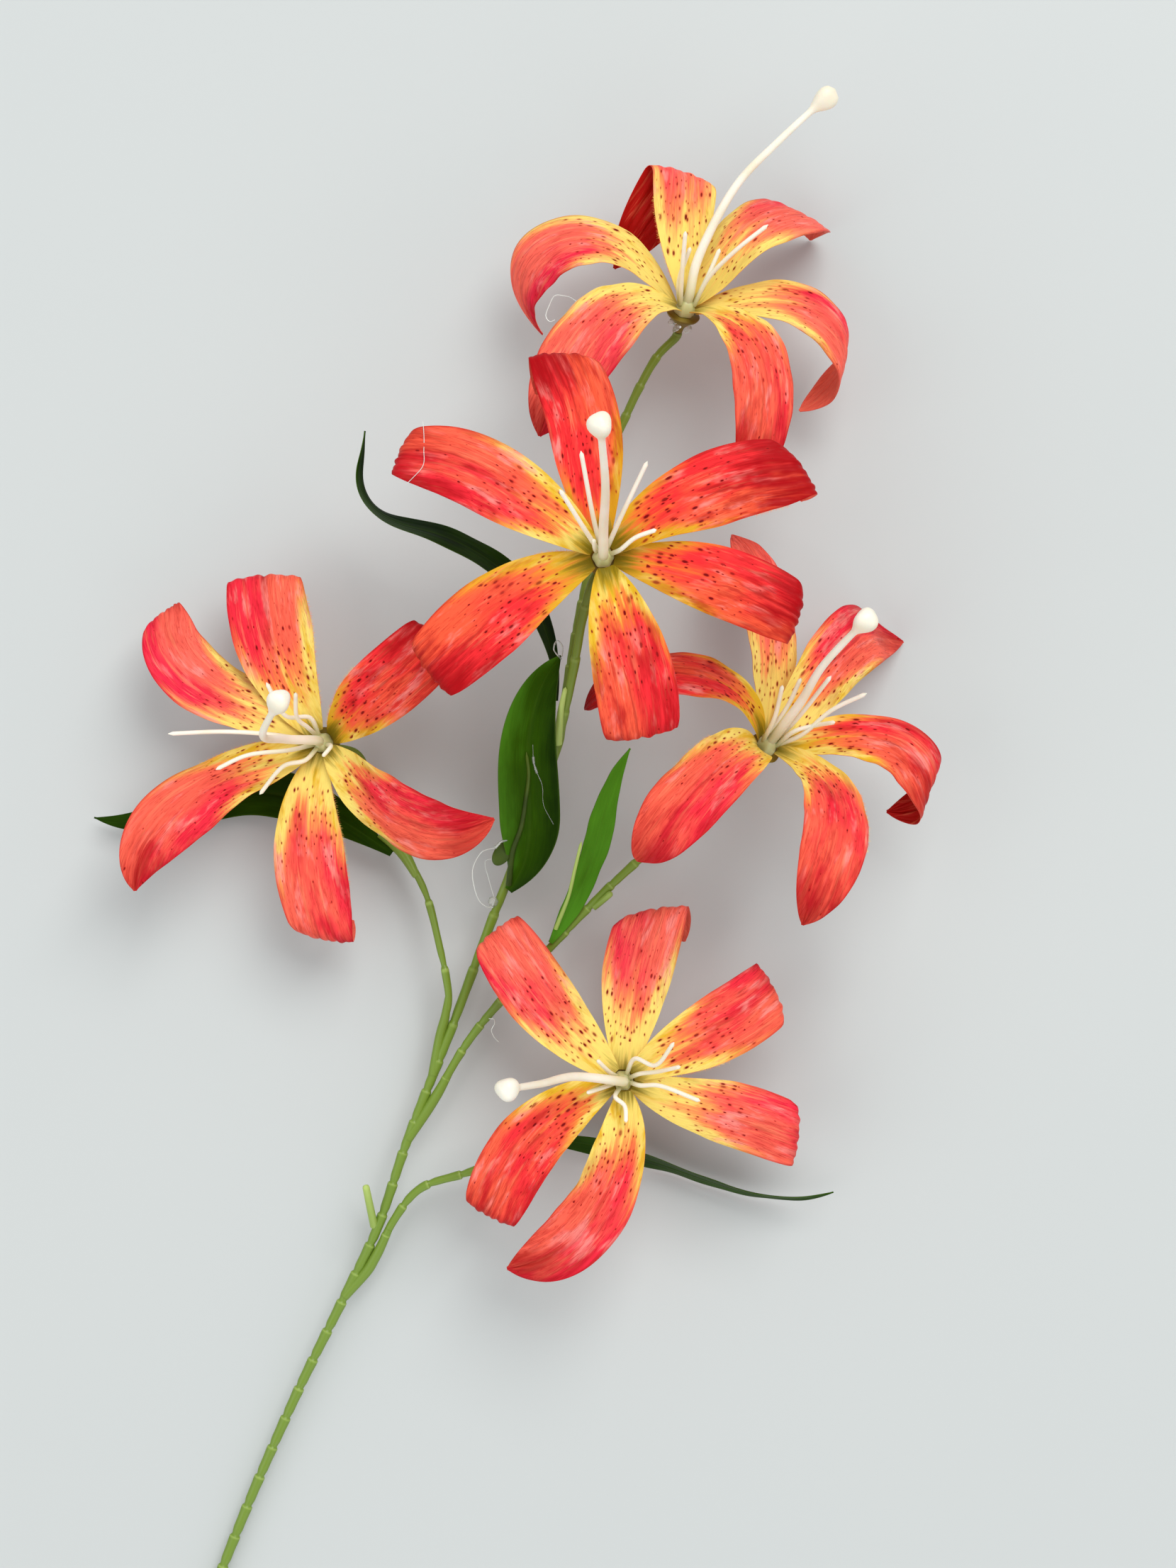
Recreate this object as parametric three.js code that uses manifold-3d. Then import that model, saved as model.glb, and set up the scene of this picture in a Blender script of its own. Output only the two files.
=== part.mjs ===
import * as THREE from "three";
import { mergeVertices } from "three/addons/utils/BufferGeometryUtils.js";
import Module from "manifold-3d";

const wasm = await Module();
wasm.setup();

// Artificial lily spray lying on a table: five open heads of six cloth petals on one jointed stem.
// Millimetres, +Z up, +Y along the spray from the cut end toward the top head.

// Driving dimensions
const petalLength = 94;
const petalThickness = 0.8;
const leafThickness = 0.8;
const hubRadius = 3.8;
const hubHeight = 5;
const cupTopRadius = 6.5;
const cupHeight = 8;
const styleBaseRadius = 1.8;
const styleTipRadius = 1.2;
const stigmaRadius = 4.4;
const filamentRadius = 0.9;
const mainStemRadius = 2.1;
const mainStemTopRadius = 2;
const sideStemRadius = 1.6;
const thinStemRadius = 1.4;
const pegRadius = 1.2;
const jointSpacing = 13;
const collarFlare = 0.25;

// Clearances between neighbouring pieces
const seat = 0.3;
const hubBottom = -0.9;
const cupTop = hubBottom - seat;
const petalStart = hubRadius + seat + 0.2;
const tier = 1.8;

// Mesh density
const straightRows = 6;
const bladeRows = 15;
const bladeColumns = 5;
const finePerRow = 8;
const stemSides = 8;
const filamentSides = 5;
const filamentSteps = 7;
const styleSides = 8;
const styleSteps = 9;
const cupSides = 14;
const hubSides = 12;

// Petal section: share of the full width at the root, where the petal is widest, arching in degrees
const petalForm = { root: 0.17, widest: 0.48, taper: 2.4, cup: [8, 8, -15, -15, -5] };
const leafForm = { root: 0.14, widest: 0.42, taper: 1.7, cup: [20, 12, 8, 8, 5] };
const tipHalfWidth = 0.5;

// Each petal bends along its length: turn is its heading round the head, rise its angle off the
// head's plane and roll its twist, all in degrees at even steps from root to tip. A folded petal
// bends back past a slanting line: at is the line's share of the length, skew its slant in degrees.
const heads = [
  {
    name: "flower1",
    hub: [71, 290.5, 41],
    lean: 52,
    toward: 72,
    petals: [
      {
        name: "left", length: 101, width: 27,
        turn: [150, 157, 172, 176, 130], rise: [35, 22, -28, -88, -165], roll: [10, -5, -20, -35, -50],
      },
      {
        name: "top", length: 97, tier: 2, width: 25,
        turn: [100, 106, 108, 108, 108], rise: [45, 60, 62, 62, 62], roll: [0, -20, -25, -25, -25],
        fold: { at: 0.44, skew: 16, bend: 170, radius: 4 },
      },
      {
        name: "upper_right", tier: 1, width: 27,
        turn: [45, 30, 40, 65], rise: [35, 65, 10, -30, -60], roll: [-5, 0, 0, -20],
      },
      {
        name: "right", length: 101, width: 27,
        turn: [3, -9, -19, -8, 22], rise: [25, 20, -18, -90, -150], roll: [0, 8, 12, 5, -5],
      },
      {
        name: "lower_right", tier: 1, width: 26,
        turn: [-50, -65, -90, -110], rise: [35, 5, -30, -50, -75], roll: [0, 5, -10, -15],
      },
      {
        name: "lower_left", tier: 1, width: 31,
        turn: [206, 217, 228, 235, 242], rise: [28, 5, -32, -55, -85], roll: [-5, 5, 0, -10],
      },
    ],
    pistil: [[75.5, 308, 48], [90, 335, 57], [105, 350, 62], [123.5, 366.5, 66]],
    filaments: [
      [[69.5, 301, 54], [70.5, 316, 66]],
      [[68.5, 300, 49], [72.5, 311, 61]],
      [[79.5, 301, 50], [89.5, 310, 59], [101.5, 318.5, 66]],
      [[80.5, 304, 51], [84, 312, 53]],
    ],
  },
  {
    name: "flower2",
    hub: [39.5, 191.5, 96],
    lean: 3,
    toward: 90,
    petals: [
      {
        name: "upper_left", tier: 1, width: 27,
        turn: [142, 147, 153, 172, 190], rise: [20, 10, 10, -5, -30], roll: [0, 0, -5, 0, 0],
        fold: { at: 0.81, skew: 15, bend: 130, radius: 5 },
      },
      {
        name: "top", width: 27,
        turn: [100, 97, 103, 120, 130], rise: [20, 10, 5, -10, -20], roll: [0, -5, -10, 0, 0],
        fold: { at: 0.73, skew: 25, bend: 145, radius: 4 },
      },
      {
        name: "upper_right", tier: 1, width: 28,
        turn: [42, 28, 18, 3, -10], rise: [20, 10, 5, 0, -30], roll: [-10, -15, 0, 0, 0],
        fold: { at: 0.76, skew: -25, bend: 120, radius: 5 },
      },
      {
        name: "right", width: 26,
        turn: [-8, -14, -22, -30, -35], rise: [20, 5, 5, 0, -30], roll: [0, 5, 5, 0, 0],
        fold: { at: 0.7, skew: -10, bend: 130, radius: 5 },
      },
      {
        name: "bottom", tier: 1, width: 30,
        turn: [-77, -76, -79, -88, -95], rise: [35, 15, -5, -15, -30], roll: [0, 15, 10, 0, 0],
        fold: { at: 0.66, skew: -5, bend: 85, radius: 5 },
      },
      {
        name: "lower_left", width: 30,
        turn: [200, 210, 220, 224, 226], rise: [15, 0, 0, -10, -20], roll: [5, 10, 0, 0, 0],
        fold: { at: 0.73, skew: 5, bend: 120, radius: 5 },
      },
    ],
    pistil: [[39.5, 200, 118], [40, 212, 148], [38, 229, 180]],
    filaments: [
      [[36, 204, 110], [31.5, 226, 130]],
      [[33, 200, 110], [24, 213, 125]],
      [[45, 203, 110], [55, 223, 125]],
      [[45.5, 193.5, 103], [51, 197.5, 108], [58.5, 200, 112]],
      [[36.5, 194, 103], [36, 197, 107]],
    ],
  },
  {
    name: "flower3",
    hub: [-69, 125, 28.5],
    lean: 12,
    toward: 150,
    petals: [
      {
        name: "upper_left", width: 27,
        turn: [150, 155, 125, 70], rise: [20, 20, 20, -20, -30], roll: [5, 30, 20, 5],
        fold: { at: 0.87, skew: -30, bend: 140, radius: 3 },
      },
      {
        name: "top", tier: 1, width: 32,
        turn: [120, 111, 102, 98, 98], rise: [20, 20, 5, -15, -20], roll: [0, -5, 5, 5, 5],
        fold: { at: 0.66, skew: 5, bend: 130, radius: 5 },
      },
      {
        name: "upper_right", width: 27,
        turn: [30, 30, 45, 52], rise: [50, 40, 10, -15, -20], roll: [5, 15, 15, 10],
        fold: { at: 0.68, skew: 0, bend: 125, radius: 5 },
      },
      {
        name: "lower_right", tier: 1, width: 27,
        turn: [-45, -40, -18, 30], rise: [25, 30, 25, 20, -5], roll: [0, 35, 25, 10],
      },
      {
        name: "bottom", width: 28,
        turn: [-102, -93, -83, -78, -78], rise: [20, 0, -5, -20, -25], roll: [0, -5, -10, 0, 0],
        fold: { at: 0.74, skew: 22, bend: 115, radius: 5 },
      },
      {
        name: "lower_left", tier: 1, width: 29,
        turn: [205, 205, 230, 260], rise: [20, 20, 15, 10, -30], roll: [5, 30, 0, -35],
      },
    ],
    pistil: [[-81, 126, 55], [-85, 127.5, 90], [-77, 139, 107]],
    filaments: [
      [[-87.5, 128, 40], [-104.5, 129, 45], [-125, 128, 55]],
      [[-81, 122, 38], [-96.5, 120, 42], [-108, 114.5, 47]],
      [[-75, 118, 38], [-82.5, 116, 41], [-91.5, 105, 45]],
      [[-65, 123.5, 37], [-68, 119.5, 39]],
      [[-74, 131, 39], [-77, 134, 45], [-76.5, 143.5, 57]],
      [[-73, 134.5, 37], [-81.5, 135, 45], [-88, 147.5, 53]],
    ],
  },
  {
    name: "flower4",
    hub: [102, 123.5, 48.5],
    lean: 40,
    toward: 52,
    petals: [
      {
        name: "left", tier: 1, width: 24,
        turn: [138, 150, 165, 170, 175, 180], rise: [55, 20, -10, -35, -70, -100],
        roll: [0, 10, 10, 10, 5, 0],
      },
      {
        name: "top", width: 26,
        turn: [85, 90, 95, 105], rise: [25, 25, 10, -10, -35], roll: [10, 15, 5, -5],
      },
      {
        name: "upper_right", tier: 1, width: 28,
        turn: [50, 50, 35, 5], rise: [25, 35, 10, -35, -15], roll: [5, 25, 15, -10],
      },
      {
        name: "right", length: 95, width: 26,
        turn: [6, -19, -46, 0], rise: [25, 40, 15, -62, -165], roll: [-5, -5, 5, -45],
      },
      {
        name: "bottom", tier: 1, width: 26,
        turn: [-42, -78, -102, -105, -80], rise: [30, 28, 5, -35, -90], roll: [0, 0, 10, 25],
      },
      {
        name: "lower_left", width: 29,
        turn: [210, 220, 230, 260], rise: [55, 20, -15, -42, -115], roll: [-5, 25, 20, 5],
      },
    ],
    pistil: [[113, 139.5, 75], [119.5, 152, 95], [133, 167.5, 118]],
    filaments: [
      [[104, 134, 65], [106, 145.5, 78]],
      [[108, 137, 67], [112.5, 148, 82]],
      [[113, 134, 62], [124, 149, 78]],
      [[114.5, 127.5, 59], [125, 136.5, 68], [137, 142.5, 80]],
      [[112, 129, 60], [119.5, 131, 63], [126, 132, 72]],
    ],
  },
  {
    name: "flower5",
    hub: [47.5, -5.5, 33.5],
    lean: 3,
    toward: 90,
    petals: [
      {
        name: "right", width: 26,
        turn: [-20, -15, -18, -26, -30], rise: [25, 10, 0, -10, -20], roll: [0, 15, 10, 0, 0],
        fold: { at: 0.67, skew: -16, bend: 130, radius: 5 },
      },
      {
        name: "upper_right", tier: 1, width: 27,
        turn: [33, 27, 32, 44, 46], rise: [20, 10, 0, -10, -20], roll: [0, 0, 0, 0, 0],
        fold: { at: 0.64, skew: 10, bend: 125, radius: 5 },
      },
      {
        name: "top", width: 28,
        turn: [85, 82, 75, 68, 66], rise: [25, 8, -5, -12, -20], roll: [0, 10, 5, 0, 0],
        fold: { at: 0.63, skew: -26, bend: 125, radius: 5 },
      },
      {
        name: "upper_left", tier: 1, width: 27,
        turn: [140, 133, 126, 123, 121], rise: [20, 10, 0, -15, -20], roll: [0, 15, 10, 0, 0],
        fold: { at: 0.74, skew: -5, bend: 120, radius: 5 },
      },
      {
        name: "lower_left", width: 27,
        turn: [200, 216, 236, 248, 252], rise: [25, 12, 0, -15, -25], roll: [5, -10, -10, 0, 0],
        fold: { at: 0.74, skew: 5, bend: 125, radius: 5 },
      },
      {
        name: "bottom", tier: 1, width: 28,
        turn: [275, 250, 225, 190], rise: [25, 25, 5, -20, -30], roll: [0, 35, 25, -5],
      },
    ],
    pistil: [[29.5, -1, 62], [16.5, -0.5, 92], [5, 0, 114]],
    filaments: [
      [[42, -1, 44], [37.5, 4, 50]],
      [[40, -7, 44], [33.5, -8.5, 50]],
      [[44.5, -11, 42], [48, -14, 45], [48.5, -20, 48]],
      [[54, -6.5, 42], [61, -6, 47], [76.5, -11, 55]],
      [[54, -2, 42], [60, -1, 45], [69, 2, 55]],
      [[52, 4, 44], [59.5, 2, 50], [66.5, 11.5, 58]],
    ],
  },
];

// Stem routes: centreline points from the lower end up. Side stems start beside the main stem.
const mainStem = {
  name: "stem_main",
  route: [
    [-171, -371.5, 2.25], [-111, -202, 3.8], [-83, -136, 7], [-62, -93, 10], [-49, -66, 13],
    [-37, -31, 14], [-20.8, 10, 14.5], [-3, 57.5, 14.5], [11, 92.5, 27], [22, 124.5, 45],
    [28.5, 152, 61], [32, 171, 73], [36, 184, 82],
  ],
  head: "flower2",
  pegs: [
    [[-50.5, -64, 13], [-51, -55, 19], [-53, -49, 24]],
    [[24, 128, 48], [22.5, 135, 48.5], [22, 140, 50]],
  ],
};
const sideStems = [
  {
    name: "stem_flower1",
    head: "flower1",
    radius: sideStemRadius,
    approach: 2,
    route: [
      [23.3, 129.5, 43.6], [29, 165, 43], [37, 205, 37], [42.5, 237, 34], [47, 247.5, 33.5],
      [54, 262.5, 33.5], [61, 274.5, 33.5],
    ],
    pegs: [],
  },
  {
    name: "stem_flower3",
    head: "flower3",
    radius: thinStemRadius,
    route: [
      [-24.5, 11.5, 15], [-20.7, 23, 17.5], [-21.7, 34, 18], [-24, 44.5, 17.5], [-30, 66.5, 15],
      [-38.5, 81.5, 13], [-46, 90, 12.5], [-50, 104, 11], [-57, 121, 11],
    ],
    pegs: [],
  },
  {
    name: "stem_flower4",
    head: "flower4",
    radius: sideStemRadius,
    route: [
      [-27, -17.1, 15], [-20.5, -4.2, 17], [-12, 9.5, 19], [1, 25.5, 22], [18, 44, 27],
      [37, 64, 31], [54, 80, 33], [80, 103, 38],
    ],
    pegs: [[[37, 63, 31], [40, 63, 34], [43, 65.5, 37]]],
  },
  {
    name: "stem_flower5",
    head: "flower5",
    radius: sideStemRadius,
    route: [
      [-50.4, -79.9, 12], [-42.4, -62.6, 14.5], [-32, -50, 15], [-9, -42, 15], [16, -26, 14],
      [38, -12, 16],
    ],
    pegs: [],
  },
];

// Leaves: base point, then bends like the petals', in the table's own axes.
const leaves = [
  {
    name: "leaf_a", base: [3, 67.5, 19.9], length: 104, width: 23.5, widest: 0.36, taper: 2.8,
    turn: [50, 84, 92, 78, 50], rise: [27, 34, 26, 12, 0], roll: [0, 0, 0, 0],
  },
  {
    name: "leaf_b", base: [22, 140.6, 50.1], length: 141, width: 16,
    turn: [89, 101, 112, 134, 146, 157, 166, 138, 86, 83], rise: [5, 8, 5, 0, 0],
    roll: [70, 58, 55, 58, 70, 78],
  },
  {
    name: "leaf_c", base: [-43.3, 81.6, 13], length: 126, width: 19,
    turn: [144, 150, 168, 198, 192, 166], rise: [-3, -3, -2, 0], roll: [0, 0, 0, 10],
  },
  {
    name: "leaf_d", base: [19.5, 47.5, 30.2], length: 83, width: 13,
    turn: [58, 67, 76, 58], rise: [18, 12, 8, 0], roll: [10, 45, 25, 30],
  },
  {
    name: "leaf_e", base: [13.5, -30.3, 12.6], length: 121, width: 17,
    turn: [-5, -10, -17, -20, -16, -4, 18], rise: [-3, -2, 0, 0], roll: [20, 55, 72, 75, 60],
  },
];

const material = {
  petal: { color: 0xe8703c, roughness: 0.7 },
  leaf: { color: 0x2c5a18, roughness: 0.35 },
  cup: { color: 0x9aa04a, roughness: 0.5 },
  stem: { color: 0x84a244, roughness: 0.45 },
  stamen: { color: 0xeee9d8, roughness: 0.4 },
};

const rad = THREE.MathUtils.degToRad;

function vec(p) {
  return new THREE.Vector3(p[0], p[1], p[2]);
}

// Smooth value at share s of a list of evenly spaced keys.
function along(keys, s) {
  const last = keys.length - 1;
  const t = Math.min(Math.max(s, 0), 1) * last;
  const i = Math.min(Math.floor(t), last - 1);
  const f = t - i;
  const b = keys[i];
  const c = keys[i + 1];
  const a = i > 0 ? keys[i - 1] : 2 * b - c;
  const d = i + 2 <= last ? keys[i + 2] : 2 * c - b;
  return b + 0.5 * f * (c - a + f * (2 * a - 5 * b + 4 * c - d + f * (3 * (b - c) + d - a)));
}

// A head's own axes: z is the way it faces.
function headAxes(head) {
  const hinge = new THREE.Vector3(-Math.sin(rad(head.toward)), Math.cos(rad(head.toward)), 0);
  return ["x", "y", "z"].map((letter) => {
    const axis = new THREE.Vector3();
    axis[letter] = 1;
    return axis.applyAxisAngle(hinge, rad(head.lean));
  });
}

// Point and local directions down the middle of a bent blade. A folded blade runs straight past
// straightFrom, and its rows lie closer there.
function bladeSpine(start, axes, blade, length) {
  const [ex, ey, ez] = axes;
  const { at, skew } = blade.fold ?? { at: 1, skew: 0 };
  const straightFrom = at - (0.5 * blade.width * Math.tan(rad(Math.abs(skew)))) / length;
  const direction = (s) => {
    const turn = rad(along(blade.turn, Math.min(s, straightFrom)));
    const rise = rad(along(blade.rise, Math.min(s, straightFrom)));
    const flat = ex.clone().multiplyScalar(Math.cos(turn)).addScaledVector(ey, Math.sin(turn));
    return flat.multiplyScalar(Math.cos(rise)).addScaledVector(ez, Math.sin(rise));
  };
  const shares = Array.from({ length: bladeRows }, (_, i) => {
    if (!blade.fold) return i / (bladeRows - 1);
    if (i < straightRows) return (straightFrom * i) / straightRows;
    return straightFrom + ((1 - straightFrom) * (i - straightRows)) / (bladeRows - 1 - straightRows);
  });
  const point = start.clone();
  return shares.map((s, i) => {
    const turn = rad(along(blade.turn, Math.min(s, straightFrom)));
    const roll = rad(along(blade.roll, Math.min(s, straightFrom)));
    const level = ex.clone().multiplyScalar(-Math.sin(turn)).addScaledVector(ey, Math.cos(turn));
    const up = direction(s).cross(level);
    const side = level.clone().multiplyScalar(Math.cos(roll)).addScaledVector(up, Math.sin(roll));
    const face = up.multiplyScalar(Math.cos(roll)).addScaledVector(level, -Math.sin(roll));
    const row = { s, centre: point.clone(), side, face };
    const step = ((shares[i + 1] ?? s) - s) / finePerRow;
    for (let k = 0; k < finePerRow; k++) {
      point.addScaledVector(direction(s + (k + 0.5) * step), step * length);
    }
    return row;
  });
}

// Half width of a petal or leaf at share s of its length.
function halfWidth(form, blade, s) {
  const widest = blade.widest ?? form.widest;
  const rise = Math.sin((Math.PI / 2) * Math.min(s / widest, 1)) ** 1.1;
  const past = Math.max((s - widest) / (1 - widest), 0);
  const fall = Math.max(1 - past ** (blade.taper ?? form.taper), 0) ** 0.85;
  return Math.max((blade.width / 2) * (form.root + (1 - form.root) * rise) * fall, tipHalfWidth);
}

// Middle surface of a blade as rows of points.
function bladeGrid(spine, form, blade, length) {
  const bendBack = blade.fold ? foldBack(spine, blade.fold, length) : null;
  return spine.map(({ s, centre, side, face }) => {
    const half = halfWidth(form, blade, s);
    const bow = rad(along(form.cup, s)) || 1e-3;
    return Array.from({ length: bladeColumns }, (_, j) => {
      const v = (2 * j) / (bladeColumns - 1) - 1;
      const across = (half * Math.sin(bow * v)) / bow;
      const lift = (half * (1 - Math.cos(bow * v))) / bow;
      const flat = centre.clone().addScaledVector(side, across).addScaledVector(face, lift);
      return bendBack?.(s, across, lift) ?? flat;
    });
  });
}

// Bends what lies past a slanting line backward round a small radius.
function foldBack(spine, fold, length) {
  const last = spine[spine.length - 1];
  const ahead = last.centre.clone().sub(spine[spine.length - 2].centre).normalize();
  const origin = last.centre.clone().addScaledVector(ahead, (fold.at - 1) * length);
  const skew = rad(fold.skew);
  const bend = rad(fold.bend);
  const line = last.side.clone().multiplyScalar(Math.cos(skew)).addScaledVector(ahead, Math.sin(skew));
  const beyond = ahead.clone().multiplyScalar(Math.cos(skew)).addScaledVector(last.side, -Math.sin(skew));
  return (s, across, lift) => {
    const y = (s - fold.at) * length;
    const past = y * Math.cos(skew) - across * Math.sin(skew);
    if (past <= 0) return null;
    const angle = Math.min(past / fold.radius, bend);
    const rest = past - fold.radius * angle;
    const reach = fold.radius * Math.sin(angle) + rest * Math.cos(bend);
    const drop = fold.radius * (1 - Math.cos(angle)) + rest * Math.sin(bend);
    return origin.clone()
      .addScaledVector(line, across * Math.cos(skew) + y * Math.sin(skew))
      .addScaledVector(beyond, reach + lift * Math.sin(angle))
      .addScaledVector(last.face, lift * Math.cos(angle) - drop);
  };
}

function gridNormal(grid, i, j) {
  const ahead = grid[Math.min(i + 1, grid.length - 1)][j];
  const behind = grid[Math.max(i - 1, 0)][j];
  const left = grid[i][Math.min(j + 1, bladeColumns - 1)];
  const right = grid[i][Math.max(j - 1, 0)];
  return ahead.clone().sub(behind).cross(left.clone().sub(right)).normalize();
}

// Closed sheet of even thickness about a grid of points.
function sheetGeometry(grid, thickness) {
  const rows = grid.length;
  const columns = grid[0].length;
  const positions = [];
  for (const side of [1, -1]) {
    for (let i = 0; i < rows; i++) {
      for (let j = 0; j < columns; j++) {
        const p = grid[i][j].clone().addScaledVector(gridNormal(grid, i, j), (side * thickness) / 2);
        positions.push(p.x, p.y, p.z);
      }
    }
  }
  const at = (layer, i, j) => layer * rows * columns + i * columns + j;
  const index = [];
  const quad = (a, b, c, d) => index.push(a, b, c, a, c, d);
  for (let i = 0; i < rows - 1; i++) {
    for (let j = 0; j < columns - 1; j++) {
      quad(at(0, i, j), at(0, i + 1, j), at(0, i + 1, j + 1), at(0, i, j + 1));
      quad(at(1, i, j), at(1, i, j + 1), at(1, i + 1, j + 1), at(1, i + 1, j));
    }
    quad(at(0, i, 0), at(1, i, 0), at(1, i + 1, 0), at(0, i + 1, 0));
    const edge = columns - 1;
    quad(at(0, i + 1, edge), at(1, i + 1, edge), at(1, i, edge), at(0, i, edge));
  }
  for (let j = 0; j < columns - 1; j++) {
    quad(at(0, 0, j + 1), at(1, 0, j + 1), at(1, 0, j), at(0, 0, j));
    const end = rows - 1;
    quad(at(0, end, j), at(1, end, j), at(1, end, j + 1), at(0, end, j + 1));
  }
  return closedGeometry(positions, index);
}

function closedGeometry(positions, index) {
  const geometry = new THREE.BufferGeometry();
  geometry.setAttribute("position", new THREE.Float32BufferAttribute(positions, 3));
  geometry.setIndex(index);
  geometry.computeVertexNormals();
  return geometry;
}

// Round bar along a curve; stations give its share of the length and its radius.
function barGeometry(points, stations, sides) {
  const curve = new THREE.CatmullRomCurve3(points, false, "centripetal");
  const steps = 240;
  const frames = curve.computeFrenetFrames(steps, false);
  const positions = [];
  for (const { share, radius } of stations) {
    const centre = curve.getPointAt(share);
    const k = Math.round(share * steps);
    for (let j = 0; j < sides; j++) {
      const angle = (2 * Math.PI * j) / sides;
      const p = centre.clone();
      p.addScaledVector(frames.normals[k], radius * Math.cos(angle));
      p.addScaledVector(frames.binormals[k], radius * Math.sin(angle));
      positions.push(p.x, p.y, p.z);
    }
  }
  const last = stations.length - 1;
  const ends = [curve.getPointAt(0), curve.getPointAt(1)];
  for (const p of ends) positions.push(p.x, p.y, p.z);
  const low = (last + 1) * sides;
  const index = [];
  for (let j = 0; j < sides; j++) {
    const next = (j + 1) % sides;
    for (let i = 0; i < last; i++) {
      const a = i * sides + j;
      const b = i * sides + next;
      index.push(a, b, b + sides, a, b + sides, a + sides);
    }
    index.push(low, next, j, low + 1, last * sides + j, last * sides + next);
  }
  return closedGeometry(positions, index);
}

function evenStations(count, radiusAt) {
  return Array.from({ length: count + 1 }, (_, i) => ({ share: i / count, radius: radiusAt(i / count) }));
}

// Nested cups: each segment widens to a small collar, then steps back in.
function jointedStations(length, radiusAt) {
  const segments = Math.max(Math.round(length / jointSpacing), 1);
  const step = 0.35 / length;
  const stations = [{ share: 0, radius: radiusAt(0) }];
  for (let i = 1; i <= segments; i++) {
    const share = i / segments;
    stations.push({ share: share - (i < segments ? step : 0), radius: radiusAt(share) + collarFlare });
    if (i < segments) stations.push({ share: share + step, radius: radiusAt(share) });
  }
  return stations;
}

function toManifold(geometry) {
  const bare = new THREE.BufferGeometry();
  bare.setAttribute("position", geometry.getAttribute("position"));
  bare.setIndex(geometry.getIndex());
  const shared = mergeVertices(bare, 1e-4);
  const mesh = new wasm.Mesh({
    numProp: 3,
    vertProperties: new Float32Array(shared.getAttribute("position").array),
    triVerts: new Uint32Array(shared.getIndex().array),
  });
  return new wasm.Manifold(mesh);
}

function joined(geometries) {
  const whole = wasm.Manifold.union(geometries.map(toManifold)).getMesh();
  return closedGeometry(Array.from(whole.vertProperties), Array.from(whole.triVerts));
}

function named(name, geometry, look) {
  const mesh = new THREE.Mesh(geometry, new THREE.MeshStandardMaterial({ ...look, metalness: 0 }));
  mesh.name = name;
  return mesh;
}

function onAxis(head, height) {
  return vec(head.hub).addScaledVector(headAxes(head)[2], height);
}

function petal(head, blade) {
  const axes = headAxes(head);
  const heading = rad(blade.turn[0]);
  const start = onAxis(head, (blade.tier ?? 0) * tier)
    .addScaledVector(axes[0], petalStart * Math.cos(heading))
    .addScaledVector(axes[1], petalStart * Math.sin(heading));
  const length = blade.length ?? petalLength;
  const grid = bladeGrid(bladeSpine(start, axes, blade, length), petalForm, blade, length);
  return named(`${head.name}_petal_${blade.name}`, sheetGeometry(grid, petalThickness), material.petal);
}

// Turned solid standing on the head's axis; profile runs from the axis at the foot to the axis on top.
function turnedSolid(head, profile, sides) {
  const lathe = new THREE.LatheGeometry(profile.map(([r, z]) => new THREE.Vector2(r, z)), sides);
  const upright = new THREE.Matrix4().makeRotationX(Math.PI / 2);
  const place = new THREE.Matrix4().makeBasis(...headAxes(head)).setPosition(vec(head.hub));
  return lathe.applyMatrix4(place.multiply(upright));
}

function receptacle(head) {
  const foot = cupTop - cupHeight;
  const profile = [
    [0, foot], [sideStemRadius + 0.3, foot], [sideStemRadius + 1, foot + 0.35 * cupHeight],
    [cupTopRadius - 0.8, cupTop - 1.6], [cupTopRadius, cupTop - 0.4],
    [cupTopRadius - 0.6, cupTop], [0, cupTop],
  ];
  return named(`${head.name}_receptacle`, turnedSolid(head, profile, cupSides), material.cup);
}

// Hub with the bare filaments growing out of its rim.
function stamens(head) {
  const shoulder = 0.8;
  const profile = [
    [0, hubBottom], [hubRadius, hubBottom], [hubRadius, hubHeight - shoulder],
    [hubRadius - shoulder, hubHeight], [0, hubHeight],
  ];
  const axis = headAxes(head)[2];
  const filaments = head.filaments.map((route) => {
    const outward = vec(route[0]).sub(onAxis(head, 0));
    outward.addScaledVector(axis, -outward.dot(axis)).normalize();
    const root = onAxis(head, hubHeight - 2 * filamentRadius);
    root.addScaledVector(outward, hubRadius - filamentRadius);
    const stations = evenStations(filamentSteps, (s) => filamentRadius * (1 - 0.15 * s));
    return barGeometry([root, ...route.map(vec)], stations, filamentSides);
  });
  const hub = turnedSolid(head, profile, hubSides);
  return named(`${head.name}_stamens`, joined([hub, ...filaments]), material.stamen);
}

// Style with a swollen three-lobed stigma on its tip.
function pistil(head) {
  const foot = hubHeight + seat;
  const points = [onAxis(head, foot), onAxis(head, foot + 3), ...head.pistil.map(vec)];
  const style = barGeometry(
    points,
    evenStations(styleSteps, (s) => THREE.MathUtils.lerp(styleBaseRadius, styleTipRadius, s)),
    styleSides,
  );
  const tip = points[points.length - 1];
  const reach = tip.clone().sub(points[points.length - 2]).normalize();
  const aside = new THREE.Vector3(0, 0, 1).cross(reach).normalize();
  const above = reach.clone().cross(aside);
  const lobeRadius = stigmaRadius * 0.62;
  const lobeOffset = stigmaRadius * 0.42;
  const lobes = [0, 120, 240].map((angle) => {
    const lobe = new THREE.IcosahedronGeometry(lobeRadius, 1);
    const centre = tip.clone().addScaledVector(reach, stigmaRadius * 0.3)
      .addScaledVector(aside, lobeOffset * Math.cos(rad(angle)))
      .addScaledVector(above, lobeOffset * Math.sin(rad(angle)));
    return lobe.translate(centre.x, centre.y, centre.z);
  });
  return named(`${head.name}_pistil`, joined([style, ...lobes]), material.stamen);
}

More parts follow.
